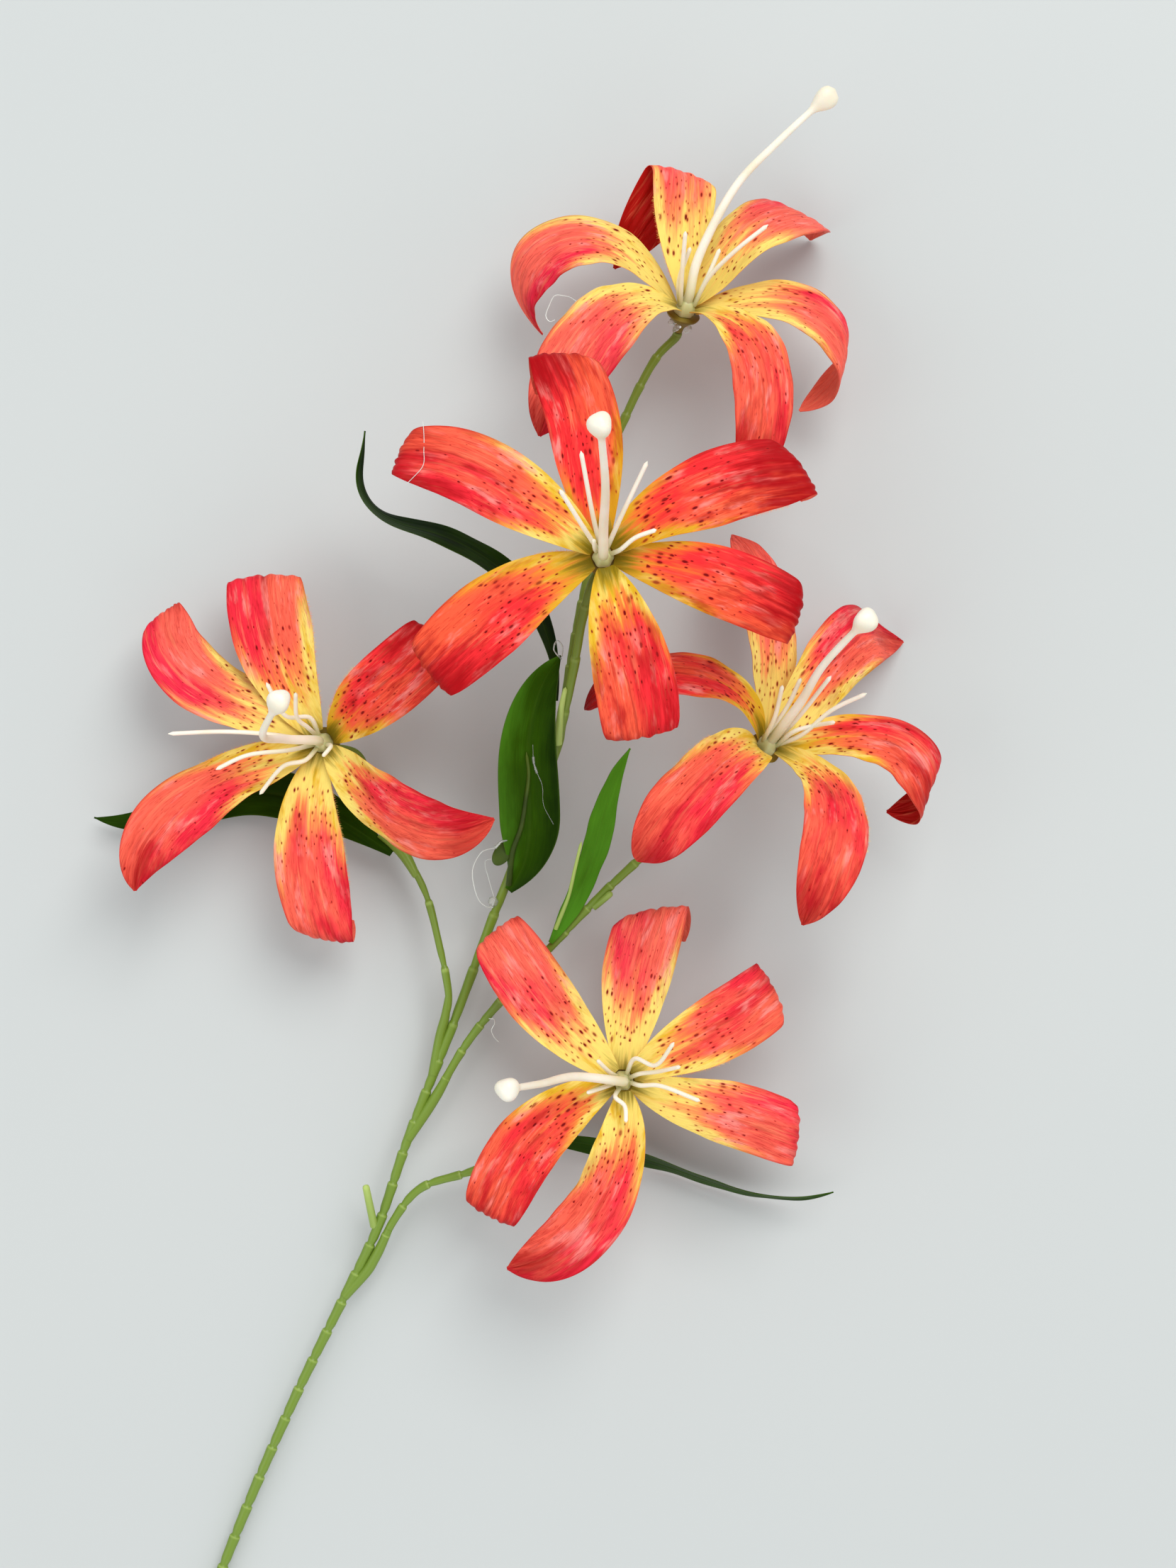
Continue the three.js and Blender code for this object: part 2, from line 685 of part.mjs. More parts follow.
function stem({ name, head, route, pegs, approach = 5 }, lowRadius, highRadius) {
  const flower = heads.find((each) => each.name === head);
  const top = onAxis(flower, cupTop - cupHeight - seat);
  const below = onAxis(flower, cupTop - cupHeight - seat - approach);
  const points = [...route.map(vec), below, top];
  const length = new THREE.CatmullRomCurve3(points, false, "centripetal").getLength();
  const stations = jointedStations(length, (s) => THREE.MathUtils.lerp(lowRadius, highRadius, s));
  const bar = barGeometry(points, stations, stemSides);
  const stubs = pegs.map((peg) => barGeometry(peg.map(vec), evenStations(3, () => pegRadius), 6));
  return named(name, joined([bar, ...stubs]), material.stem);
}

function leaf(blade) {
  const axes = [vec([1, 0, 0]), vec([0, 1, 0]), vec([0, 0, 1])];
  const spine = bladeSpine(vec(blade.base), axes, blade, blade.length);
  const grid = bladeGrid(spine, leafForm, blade, blade.length);
  return named(blade.name, sheetGeometry(grid, leafThickness), material.leaf);
}

const spray = new THREE.Group();
spray.name = "lily_spray";
for (const head of heads) {
  for (const blade of head.petals) spray.add(petal(head, blade));
  spray.add(receptacle(head), stamens(head), pistil(head));
}
spray.add(stem(mainStem, mainStemRadius, mainStemTopRadius));
for (const branch of sideStems) spray.add(stem(branch, branch.radius, branch.radius));
for (const blade of leaves) spray.add(leaf(blade));

export default spray;
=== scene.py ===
import math
import random

import bpy
import numpy as np
from mathutils import Matrix, Vector


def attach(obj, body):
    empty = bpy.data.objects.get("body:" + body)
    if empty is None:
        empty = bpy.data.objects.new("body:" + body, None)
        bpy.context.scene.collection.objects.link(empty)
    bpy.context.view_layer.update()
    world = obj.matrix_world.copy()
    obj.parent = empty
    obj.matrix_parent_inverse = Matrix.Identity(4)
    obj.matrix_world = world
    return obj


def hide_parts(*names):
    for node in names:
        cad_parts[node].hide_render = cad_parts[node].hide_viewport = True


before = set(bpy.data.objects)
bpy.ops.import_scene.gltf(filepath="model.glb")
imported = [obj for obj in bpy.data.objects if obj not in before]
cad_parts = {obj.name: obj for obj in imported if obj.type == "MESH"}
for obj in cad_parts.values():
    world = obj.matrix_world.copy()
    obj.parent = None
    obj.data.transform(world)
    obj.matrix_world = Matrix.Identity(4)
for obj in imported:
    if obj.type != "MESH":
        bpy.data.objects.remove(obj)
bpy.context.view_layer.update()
print("frame loaded:", len(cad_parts), "nodes")

millimetre = 0.001
scene = bpy.context.scene

# ---- Camera: straight above the spray, the way the photograph looks at it
cameraPlace = {
    "spot": (0.034, 0.109, 1.100),
    "lens": 63.39,
}
cameraData = bpy.data.cameras.new("camera")
cameraData.lens = cameraPlace["lens"]
cameraData.sensor_width = 36
cameraData.clip_start = 0.01
cameraData.clip_end = 20
camera = bpy.data.objects.new("camera", cameraData)
camera.location = cameraPlace["spot"]
scene.collection.objects.link(camera)
scene.camera = camera


# ---- Small helpers for node trees
class Wire:
    # An output of a node; adding or multiplying wires makes the math nodes
    def __init__(self, socket):
        self.socket = socket
        self.tree = socket.id_data

    def __add__(self, other):
        return calc("ADD", self, other)

    def __sub__(self, other):
        return calc("SUBTRACT", self, other)

    def __mul__(self, other):
        return calc("MULTIPLY", self, other)

    def __truediv__(self, other):
        return calc("DIVIDE", self, other)

    def __rtruediv__(self, other):
        return calc("DIVIDE", other, self)


def feed(socket, value):
    if isinstance(value, Wire):
        value.tree.links.new(value.socket, socket)
    else:
        socket.default_value = value


def addNode(tree, kind, inputs=None, **settings):
    made = tree.nodes.new(kind)
    for key, value in settings.items():
        setattr(made, key, value)
    for key, value in (inputs or {}).items():
        feed(made.inputs[key], value)
    return made


def wire(tree, kind, inputs=None, output=0, **settings):
    return Wire(addNode(tree, kind, inputs, **settings).outputs[output])


def calc(operation, a, b=0.0, clamp=False):
    tree = a.tree if isinstance(a, Wire) else b.tree
    return wire(tree, "ShaderNodeMath", {0: a, 1: b}, operation=operation, use_clamp=clamp)


def ramp(value, fromLow, fromHigh, low=0.0, high=1.0):
    inputs = {"Value": value, "From Min": fromLow, "From Max": fromHigh, "To Min": low, "To Max": high}
    return wire(value.tree, "ShaderNodeMapRange", inputs, "Result", interpolation_type="SMOOTHSTEP")


def mix(factor, a, b):
    return wire(factor.tree, "ShaderNodeMix", {0: factor, 6: a, 7: b}, 2, data_type="RGBA")


def split(value, kind="XYZ"):
    return [Wire(socket) for socket in addNode(value.tree, "ShaderNodeSeparate" + kind, {0: value}).outputs]


def noise(place, scale, detail, roughness=0.5, distortion=0.0):
    return wire(place.tree, "ShaderNodeTexNoise", {
        "Vector": place, "Scale": scale, "Detail": detail, "Roughness": roughness, "Distortion": distortion,
    }, "Fac")


def attribute(tree, name, output="Fac"):
    return wire(tree, "ShaderNodeAttribute", None, output, attribute_name=name)


def newGroup(name, kind, inputs, outputs):
    group = bpy.data.node_groups.new(name, kind)
    for label, socketKind, value in inputs:
        socket = group.interface.new_socket(label, in_out="INPUT", socket_type="NodeSocket" + socketKind)
        if value is not None:
            socket.default_value = value
    for label, socketKind in outputs:
        group.interface.new_socket(label, in_out="OUTPUT", socket_type="NodeSocket" + socketKind)
    source = group.nodes.new("NodeGroupInput")
    result = group.nodes.new("NodeGroupOutput")
    given = {socket.name: Wire(socket) for socket in source.outputs if socket.name}
    return group, given, result.inputs


def useGroup(group, inputs):
    made = addNode(inputs["Place"].tree, "ShaderNodeGroup", inputs, node_tree=group)
    return [Wire(socket) for socket in made.outputs]


def paint(red, green, blue):
    def toLinear(level):
        level /= 255
        return level / 12.92 if level <= 0.04045 else ((level + 0.055) / 1.055) ** 2.4
    return (toLinear(red), toLinear(green), toLinear(blue), 1.0)


def newMaterial(name, values):
    material = bpy.data.materials.new(name)
    material.use_nodes = True
    shader = material.node_tree.nodes["Principled BSDF"].inputs
    for key, value in values.items():
        shader[key].default_value = value
    return material, material.node_tree, shader


def emboss(shader, height, strength, distance):
    inputs = {"Strength": strength, "Distance": distance, "Height": height}
    feed(shader["Normal"], wire(height.tree, "ShaderNodeBump", inputs))


# ---- Effects that several materials share
weaveGroup, given, result = newGroup(
    "clothWeave", "ShaderNodeTree",
    [("Place", "Vector", None), ("Thread Pitch", "Float", 0.5)], [("Height", "Float")])
weaveX, weaveY, _ = split(given["Place"])
threadTurn = 2 * math.pi / given["Thread Pitch"]
feed(result["Height"], calc("SINE", weaveX * threadTurn) * calc("SINE", weaveY * threadTurn))

streakGroup, given, result = newGroup(
    "lengthwiseStreaks", "ShaderNodeTree",
    [("Place", "Vector", None), ("Across", "Float", 1.0), ("Along", "Float", 0.05)], [("Value", "Float")])
streakX, streakY, streakSheet = split(given["Place"])
streakPlace = wire(streakGroup, "ShaderNodeCombineXYZ", {
    "X": streakX * given["Across"], "Y": streakY * given["Along"], "Z": streakSheet * 7.31,
})
feed(result["Value"], noise(streakPlace, 1.0, 3.0, 0.6, 0.15))

mouldGroup, given, result = newGroup(
    "mouldedSurface", "ShaderNodeTree",
    [("Place", "Vector", None), ("Grain", "Float", 900.0)], [("Height", "Float"), ("Cloud", "Float")])
feed(result["Height"], noise(given["Place"], given["Grain"], 3.0, 0.55))
feed(result["Cloud"], noise(given["Place"], 60.0, 2.0))


def streaks(place, across, along):
    return useGroup(streakGroup, {"Place": place, "Across": across, "Along": along})[0]


def clothMaterial(name, shine):
    # Cloth reads its place in the flat sheet, the sheet's three looks, and how far across and along it is
    material, tree, shader = newMaterial(name, {"Specular IOR Level": shine})
    place = attribute(tree, "clothPlace", "Vector")
    looks = split(attribute(tree, "petalLook", "Vector"))
    mapX, length, _ = split(wire(tree, "ShaderNodeUVMap", uv_map="petalMap"))
    return material, shader, place, looks, mapX * 2.0 - 1.0, length


# ---- Petal cloth: the printed satin of the heads, its left side redder than its right
petalInk = {
    "gold": (224, 178, 40), "lemon": (244, 218, 112), "brown": (200, 124, 10), "amber": (236, 128, 48),
    "apricot": (252, 156, 90), "orangeSide": (244, 90, 58), "redSide": (242, 46, 50), "peach": (252, 106, 90),
    # The pale ink is a painted highlight: sheen where the satin bends
    "pink": (238, 40, 72), "tip": (164, 4, 14), "pale": (255, 152, 142), "light": (255, 144, 104),
    # The throat olive is print, darkened as painted shade where the petal roots meet
    "dark": (158, 8, 14), "throat": (112, 98, 14), "speck": (118, 6, 12), "halo": (196, 34, 28),
    # The deep underside red is strong ink and painted shade, for backs that lie in shadow
    "underRoot": (238, 184, 84), "underMiddle": (240, 104, 84), "underDeepAndShade": (170, 16, 10),
}


def petalCloth():
    ink = {key: paint(*levels) for key, levels in petalInk.items()}
    material, shader, place, (under, blush, deep), across, length = clothMaterial("petalCloth", 0.07)
    edge = calc("ABSOLUTE", across)
    medium, fine = streaks(place, 0.75, 0.045), streaks(place, 2.4, 0.1)
    patch, cloud = streaks(place, 0.26, 0.06), streaks(place, 0.17, 0.045)
    blotch, streak, grit = streaks(place, 0.11, 0.035) - 0.5, medium - 0.5, fine - 0.5
    softness = ramp(deep, -1.0, 0.3, 1.0, 0.0)
    sideways = across * blush

    # Gold at the throat and up the right margin, a little up the left one and the midrib; red past that
    rightMargin = ramp(across, -0.95, -0.4, 1.0, 0.0) * (blush * 0.16 + blotch * 0.5 + 0.14)
    leftMargin = ramp(across, 0.5, 0.95) * (blotch * 0.5 + 0.17)
    border = rightMargin + leftMargin + ramp(edge, 0.0, 0.14, 1.0, 0.0) * 0.07 + 0.1
    redness = ramp(length - border + streak * 0.3 + grit * 0.22 + blotch * 0.3 + deep * 0.14, -0.1, 0.26)
    gold = mix(ramp(patch + deep * -0.25, 0.42, 0.66), ink["gold"], ink["lemon"])
    gold = mix(ramp(deep, 0.0, 0.5, 0.0, 0.6), gold, ink["brown"])
    amber = mix(softness, ink["amber"], ink["apricot"])
    sideMix = ramp(sideways + blotch * 3.2 + deep * 0.5, -0.6, 0.5)
    body = mix(sideMix, ink["orangeSide"], ink["redSide"])
    body = mix(softness * 0.85, body, mix(sideMix, ink["peach"], ink["pink"]))
    color = mix(ramp(redness, 0.0, 0.55), gold, amber)
    color = mix(ramp(redness, 0.35, 1.0), color, body)
    # Painted highlight: pale pink patches in the middle of the petal stand in for the sheen where the cloth
    # bends
    paleSheenMask = ramp(patch, 0.52, 0.72, 0.0, 0.75) * ramp(length, 0.25, 0.4) * ramp(length, 0.6, 0.9, 1.0, 0.2)
    color = mix(paleSheenMask, color, ink["pale"])

    # Brush marks: light streaks, dark tips and rims, dark veins, and the dark pleats beside the midrib
    lightMask = ramp(medium, 0.52, 0.7, 0.0, 0.5) * ramp(fine, 0.35, 0.6, 0.6, 1.0)
    lightMask = lightMask * ramp(length, 0.1, 0.5, 0.3, 1.0)
    color = mix(lightMask, color, ink["light"])
    tipReach = length + blotch * 0.7 + streak * 0.5 + sideways * 0.06 + deep * 0.2
    color = mix(ramp(tipReach, 0.52, 0.88, 0.0, 0.95) * ramp(deep, -0.7, 0.3, 0.7, 1.0), color, ink["tip"])
    # Painted shade: broad dark red patches from a slow cloud stand in for the shading of broad pleats; the
    # dark rims are print
    shadeMask = ramp(cloud, 0.5, 0.68, 0.0, 0.65) * ramp(length, 0.12, 0.3) * ramp(deep, -1.0, 0.3, 0.3, 1.0)
    rimMask = ramp(edge, 0.9, 1.0, 0.0, 0.55) * ramp(length, 0.3, 0.55)
    color = mix(calc("MAXIMUM", shadeMask, rimMask), color, ink["tip"])
    vein = ramp(calc("ABSOLUTE", streak), 0.0, 0.03, 0.8, 0.0) * ramp(fine, 0.42, 0.56)
    vein = calc("MAXIMUM", vein, ramp(fine, 0.34, 0.46, 0.65, 0.0)) * ramp(length, 0.12, 0.6, 0.15, 0.7)
    pleatWave = calc("COSINE", across * 30.0 + blotch * 16.0 + length * -3.0)
    pleatWave = pleatWave * ramp(edge, 0.1, 0.45, 1.0, 0.0) * ramp(length, 0.2, 0.5)
    pleat = ramp(pleatWave, 0.2, 0.95, 0.0, 0.6) * ramp(softness, 0.0, 1.0, 1.0, 0.45)
    veinMask = calc("MAXIMUM", vein, pleat * ramp(medium, 0.4, 0.6, 0.3, 1.0))
    color = mix(veinMask, color, ink["dark"])

    # Olive throat: the throat's own olive print, darkened at the petal roots into painted shade where the
    # petals meet
    throatLine = length + edge * 0.05 + streak * 0.2 + deep * -0.04
    color = mix(ramp(throatLine, 0.02, 0.14, 0.9, 0.0), color, ink["throat"])

    # Maroon specks, thick and large toward the throat, thin and small toward the tip
    x, y, sheet = split(place)
    speckPlace = wire(place.tree, "ShaderNodeCombineXYZ", {"X": x * 0.52 + sheet * 13.7, "Y": y * 0.23})
    cells = addNode(place.tree, "ShaderNodeTexVoronoi", {
        "Vector": speckPlace, "Scale": 1.0, "Randomness": 0.95,
    }, voronoi_dimensions="2D").outputs
    chance, growth, strength = split(Wire(cells["Color"]), "Color")
    density = ramp(length, 0.08, 0.18, 0.0, 0.8) * ramp(length, 0.3, 0.62, 1.0, 0.06)
    present = calc("LESS_THAN", chance, density * ramp(edge, 0.8, 0.97, 1.0, 0.0))
    size = (growth * growth * growth * 0.18 + 0.1) * ramp(length, 0.25, 0.6, 1.0, 0.6)
    nearness = (Wire(cells["Distance"]) + streak * 0.2) / (size * ramp(softness, 0.0, 1.0, 1.05, 0.9))
    color = mix(ramp(nearness, 0.8, 2.4, 0.5, 0.0) * present, color, ink["halo"])
    speck = ramp(nearness, 0.6, 1.3, 1.0, 0.0) * present * ramp(strength, 0.0, 0.8, 0.5, 1.0)
    color = mix(speck, color, ink["speck"])

    # Plain underside, deep red where the sheet says so: strong ink, and painted shade on backs that lie in
    # shadow
    underColor = mix(calc("SUBTRACT", under, 1.0, clamp=True), ink["underMiddle"], ink["underDeepAndShade"])
    underReach = length + blotch * 0.5 + streak * 0.4
    underColor = mix(ramp(underReach, 0.05, 0.35), ink["underRoot"], underColor)
    underColor = mix(lightMask * 0.5, underColor, ink["light"])
    underColor = mix(veinMask * 0.4, underColor, ink["dark"])
    feed(shader["Base Color"], mix(calc("MINIMUM", under, 1.0), color, underColor))

    weave = useGroup(weaveGroup, {"Place": place, "Thread Pitch": 0.55})[0]
    relief = weave * 0.15 + fine * 0.3 - pleatWave + medium * 0.8
    emboss(shader, relief, strength=0.45, distance=0.0003)
    feed(shader["Roughness"], ramp(fine, 0.3, 0.7, 0.36, 0.52))
    return material


# ---- Leaf cloth
leafInk = {
    "dark": paint(10, 28, 2), "mid": paint(44, 76, 2), "bright": paint(76, 132, 28),
    "rib": paint(74, 100, 30),
}


def leafCloth():
    material, shader, place, looks, across, _ = clothMaterial("leafCloth", 0.03)
    broad, fine = streaks(place, 0.12, 0.03), streaks(place, 2.4, 0.04)
    edge = calc("ABSOLUTE", across)
    tone = looks[2] + (broad - 0.5) * 0.7 + across * looks[1] + (fine - 0.5) * 0.2
    color = mix(tone * 2.0, leafInk["dark"], leafInk["mid"])
    color = mix(tone * 2.0 - 1.0, color, leafInk["bright"])
    color = mix(ramp(edge, 0.02, 0.09, 0.12, 0.0), color, leafInk["rib"])
    feed(shader["Base Color"], mix(ramp(edge, 0.93, 1.0, 0.0, 0.5), color, leafInk["rib"]))
    weave = useGroup(weaveGroup, {"Place": place, "Thread Pitch": 0.6})[0]
    emboss(shader, weave * 0.15 + fine, strength=0.3, distance=0.0002)
    feed(shader["Roughness"], ramp(fine, 0.3, 0.7, 0.3, 0.46))
    return material


# ---- Moulded plastics and glue
# The collar colour is lighter paint: a painted highlight for the glints on the stem's joint lips
stemInk = {"lower": paint(112, 139, 42), "upper": paint(110, 132, 32), "collar": paint(176, 198, 104)}
cupInk = {"base": paint(142, 122, 40), "dark": paint(104, 90, 26)}
tabInk = {"base": paint(74, 94, 20), "dark": paint(46, 64, 10)}
stamenInk = {"white": paint(244, 238, 222), "cream": paint(228, 214, 176), "hub": paint(176, 172, 92)}
glueInk = paint(240, 243, 236)
fibreInk = {"yellow": paint(248, 206, 110), "red": paint(246, 132, 88)}


def mouldedMaterial(name, values, grain, strength, rough, distance=0.0002):
    # Fine grain and a slow cloud in the gloss; place and cloud are there for the colour
    material, tree, shader = newMaterial(name, values)
    place = wire(tree, "ShaderNodeTexCoord", None, "Object")
    height, cloud = useGroup(mouldGroup, {"Place": place, "Grain": grain})
    emboss(shader, height, strength, distance)
    feed(shader["Roughness"], ramp(cloud, 0.3, 0.7, *rough))
    return material, shader, place, cloud


def stemPlastic():
    values = {"Specular IOR Level": 0.42}
    material, shader, place, cloud = mouldedMaterial(
        "stemPlastic", values, grain=700.0, strength=0.25, rough=(0.34, 0.5))
    height = split(place)[1] + (cloud - 0.5) * 0.12
    color = mix(ramp(height, -0.05, 0.12), stemInk["lower"], stemInk["upper"])
    # The lighter collar paint is a painted highlight on the joint lips; pegs get the same paint toward their
    # tips
    feed(shader["Base Color"], mix(attribute(place.tree, "collar"), color, stemInk["collar"]))
    return material


def cupPlastic(name, ink):
    values = {"Specular IOR Level": 0.25}
    material, shader, _, cloud = mouldedMaterial(name, values, grain=800.0, strength=0.25, rough=(0.35, 0.55))
    feed(shader["Base Color"], mix(ramp(cloud, 0.3, 0.7), ink["base"], ink["dark"]))
    return material


def stamenPlastic():
    values = {"Subsurface Weight": 0.15, "Subsurface Scale": 0.002}
    material, shader, place, cloud = mouldedMaterial(
        "stamenPlastic", values, grain=600.0, strength=0.3, rough=(0.4, 0.55))
    color = mix(ramp(cloud, 0.35, 0.7, 0.0, 0.5), stamenInk["white"], stamenInk["cream"])
    feed(shader["Base Color"], mix(attribute(place.tree, "rootShare"), color, stamenInk["hub"]))
    return material


def clearGlue(name, clearness):
    values = {"Base Color": glueInk, "Transmission Weight": clearness, "IOR": 1.4, "Specular IOR Level": 0.7}
    return mouldedMaterial(name, values, grain=500.0, strength=0.3, rough=(0.08, 0.25), distance=0.0003)[0]


def looseFibre():
    material, tree, shader = newMaterial("looseFibre", {"Roughness": 0.6, "Specular IOR Level": 0.15})
    tint = noise(wire(tree, "ShaderNodeTexCoord", None, "Object"), 400.0, 1.0)
    feed(shader["Base Color"], mix(ramp(tint, 0.4, 0.6), fibreInk["yellow"], fibreInk["red"]))
    return material


petalMaterial = petalCloth()
leafMaterial = leafCloth()
stemMaterial = stemPlastic()
cupMaterial = cupPlastic("cupPlastic", cupInk)
tabMaterial = cupPlastic("tabPlastic", tabInk)
stamenMaterial = stamenPlastic()
glueMaterial = clearGlue("clearGlue", 0.75)
threadMaterial = clearGlue("glueThread", 0.3)
fibreMaterial = looseFibre()
print("materials made")


# ---- Blades: petals and leaves share one way of bending
def unit(vectors):
    return vectors / np.linalg.norm(vectors, axis=-1, keepdims=True)


def along(keys, s):
    # Smooth value at share s between evenly spaced keys
    keys = np.asarray(keys, float)
    last = len(keys) - 1
    t = np.clip(s, 0, 1) * last
    i = np.minimum(t.astype(int), last - 1)
    f = t - i
    padded = np.concatenate([[2 * keys[0] - keys[1]], keys, [2 * keys[-1] - keys[-2]]])
    a, b, c, d = padded[i], padded[i + 1], padded[i + 2], padded[i + 3]
    return b + 0.5 * f * (c - a + f * (2 * a - 5 * b + 4 * c - d + f * (3 * (b - c) + d - a)))


def headAxes(head):
    toward = math.radians(head["toward"])
    hinge = Vector((-math.sin(toward), math.cos(toward), 0))
    turned = Matrix.Rotation(math.radians(head["lean"]), 3, hinge)
    return np.array([turned @ Vector(axis) for axis in ((1, 0, 0), (0, 1, 0), (0, 0, 1))])


def bladeSpine(start, axes, blade, length, rows):
    # Middle line of a blade, and its own side and face directions; a folded blade runs straight past its fold
    ex, ey, ez = axes
    finePerRow = 8
    fine = (rows - 1) * finePerRow
    straightFrom = 1.0
    if "fold" in blade:
        at, skew = blade["fold"][:2]
        straightFrom = at - 0.5 * blade["width"] * math.tan(math.radians(abs(skew))) / length

    def bent(key, s):
        return np.radians(along(blade[key], np.minimum(s, straightFrom)))[:, None]

    def heading(s):
        turn, rise = bent("turn", s), bent("rise", s)
        flat = np.cos(turn) * ex + np.sin(turn) * ey
        return flat * np.cos(rise) + np.sin(rise) * ez

    steps = heading((np.arange(fine) + 0.5) / fine) * length / fine
    path = np.vstack([start, start + np.cumsum(steps, axis=0)])
    s = np.linspace(0, 1, rows)
    turn, roll = bent("turn", s), bent("roll", s)
    level = -np.sin(turn) * ex + np.cos(turn) * ey
    up = np.cross(heading(s), level)
    side = level * np.cos(roll) + up * np.sin(roll)
    return s, path[::finePerRow], side, up * np.cos(roll) - level * np.sin(roll)


def foldBack(grid, s, across, lift, centre, side, face, length, fold):
    # Bends what lies past a slanting line backward round a small radius
    at, skew, bend, radius = fold
    skew, bend = math.radians(skew), math.radians(bend)
    origin = np.array([np.interp(at, s, centre[:, k]) for k in range(3)])
    ahead = unit(centre[-1] - centre[-2])
    line = math.cos(skew) * side[-1] + math.sin(skew) * ahead
    beyond = math.cos(skew) * ahead - math.sin(skew) * side[-1]
    y = ((s - at) * length)[:, None]
    onLine = across * math.cos(skew) + y * math.sin(skew)
    past = y * math.cos(skew) - across * math.sin(skew)
    angle = np.clip(past / radius, 0, bend)
    rest = np.maximum(past - radius * bend, 0)
    reach = radius * np.sin(angle) + rest * np.cos(bend)
    drop = radius * (1 - np.cos(angle)) + rest * np.sin(bend)
    normal = np.cos(angle)[:, :, None] * face[-1] + np.sin(angle)[:, :, None] * beyond
    bent = (origin + onLine[:, :, None] * line + reach[:, :, None] * beyond
            - drop[:, :, None] * face[-1] + lift[:, :, None] * normal)
    return np.where((past > 0)[:, :, None], bent, grid)


def halfWidth(form, blade, s):
    widest = blade.get("widest", form["widest"])
    rise = np.sin(np.pi / 2 * np.minimum(s / widest, 1)) ** form["swell"]
    past = np.maximum((s - widest) / (1 - widest), 0)
    fall = np.maximum(1 - past ** blade.get("taper", form["taper"]), 0) ** form["blunt"]
    return np.maximum(blade["width"] / 2 * (form["root"] + (1 - form["root"]) * rise) * fall, form["tipHalf"])


def gridNormals(grid):
    return unit(np.cross(np.gradient(grid, axis=0), np.gradient(grid, axis=1)))


def bladeGrid(start, axes, blade, length, form, seed):
    s, centre, side, face = bladeSpine(start, axes, blade, length, form["rows"])
    dice = random.Random(seed)
    half = halfWidth(form, blade, s)
    bow = np.radians(along(form["cup"], s))
    flattest = 1e-3
    bow = np.where(np.abs(bow) < flattest, flattest, bow)
    v = np.linspace(-1, 1, form["columns"])
    angle = bow[:, None] * v[None, :]
    across = half[:, None] * np.sin(angle) / bow[:, None]
    lift = half[:, None] * (1 - np.cos(angle)) / bow[:, None]

    # Ruffled margins, each side in its own rhythm
    ruffle = np.zeros_like(lift)
    for sign in (-1, 1):
        waves = dice.uniform(2.2, 4.2)
        phase = dice.uniform(0, 2 * math.pi)
        wave = np.sin(2 * np.pi * waves * s + phase) + 0.5 * np.sin(4.3 * np.pi * waves * s + 2 * phase)
        strength = form["ruffle"] * np.clip(s / 0.3, 0, 1) * np.clip((1 - s) / 0.1, 0, 1)
        ruffle += (wave * strength)[:, None] * np.clip(sign * v, 0, 1)[None, :] ** 3
    lift = lift + ruffle
    grid = centre[:, None, :] + across[:, :, None] * side[:, None, :] + lift[:, :, None] * face[:, None, :]
    if "fold" in blade:
        grid = foldBack(grid, s, across, lift, centre, side, face, length, blade["fold"])

    # Pressed veins: a midrib and lines that follow the outline
    depth = np.clip((s - 0.12) / 0.5, 0, 1) * np.clip((1.02 - s) / 0.12, 0, 1)
    ribs = -form["midrib"] * np.exp(-((v / 0.06) ** 2))[None, :] * np.clip(s / 0.15, 0, 1)[:, None]
    wander = 0.05 * np.sin(2 * np.pi * s * dice.uniform(0.6, 1.4) + dice.uniform(0, 6))
    drift = v[None, :] + wander[:, None]
    lines = np.cos(2 * np.pi * form["veins"] * drift + dice.uniform(0, 6))
    lines = lines + np.cos(1.2 * np.pi * form["veins"] * drift + dice.uniform(0, 6))
    pressed = ribs + form["veinDepth"] * depth[:, None] * lines * (1 - v ** 6)[None, :]
    return s, v, across, grid + gridNormals(grid) * pressed[:, :, None]


def addObject(name, points, faces, material, sharpFrom):
    # A smooth mesh, sharp where its faces meet at more than an angle in degrees
    mesh = bpy.data.meshes.new(name)
    mesh.from_pydata((np.asarray(points) * millimetre).tolist(), [], faces)
    mesh.update()
    mesh.polygons.foreach_set("use_smooth", [True] * len(mesh.polygons))
    mesh.set_sharp_from_angle(angle=math.radians(sharpFrom))
    mesh.materials.append(material)
    piece = bpy.data.objects.new(name, mesh)
    scene.collection.objects.link(piece)
    return piece


def addAttribute(mesh, label, kind, values):
    field = "vector" if kind == "FLOAT_VECTOR" else "value"
    mesh.attributes.new(label, kind, "POINT").data.foreach_set(field, np.ravel(values))


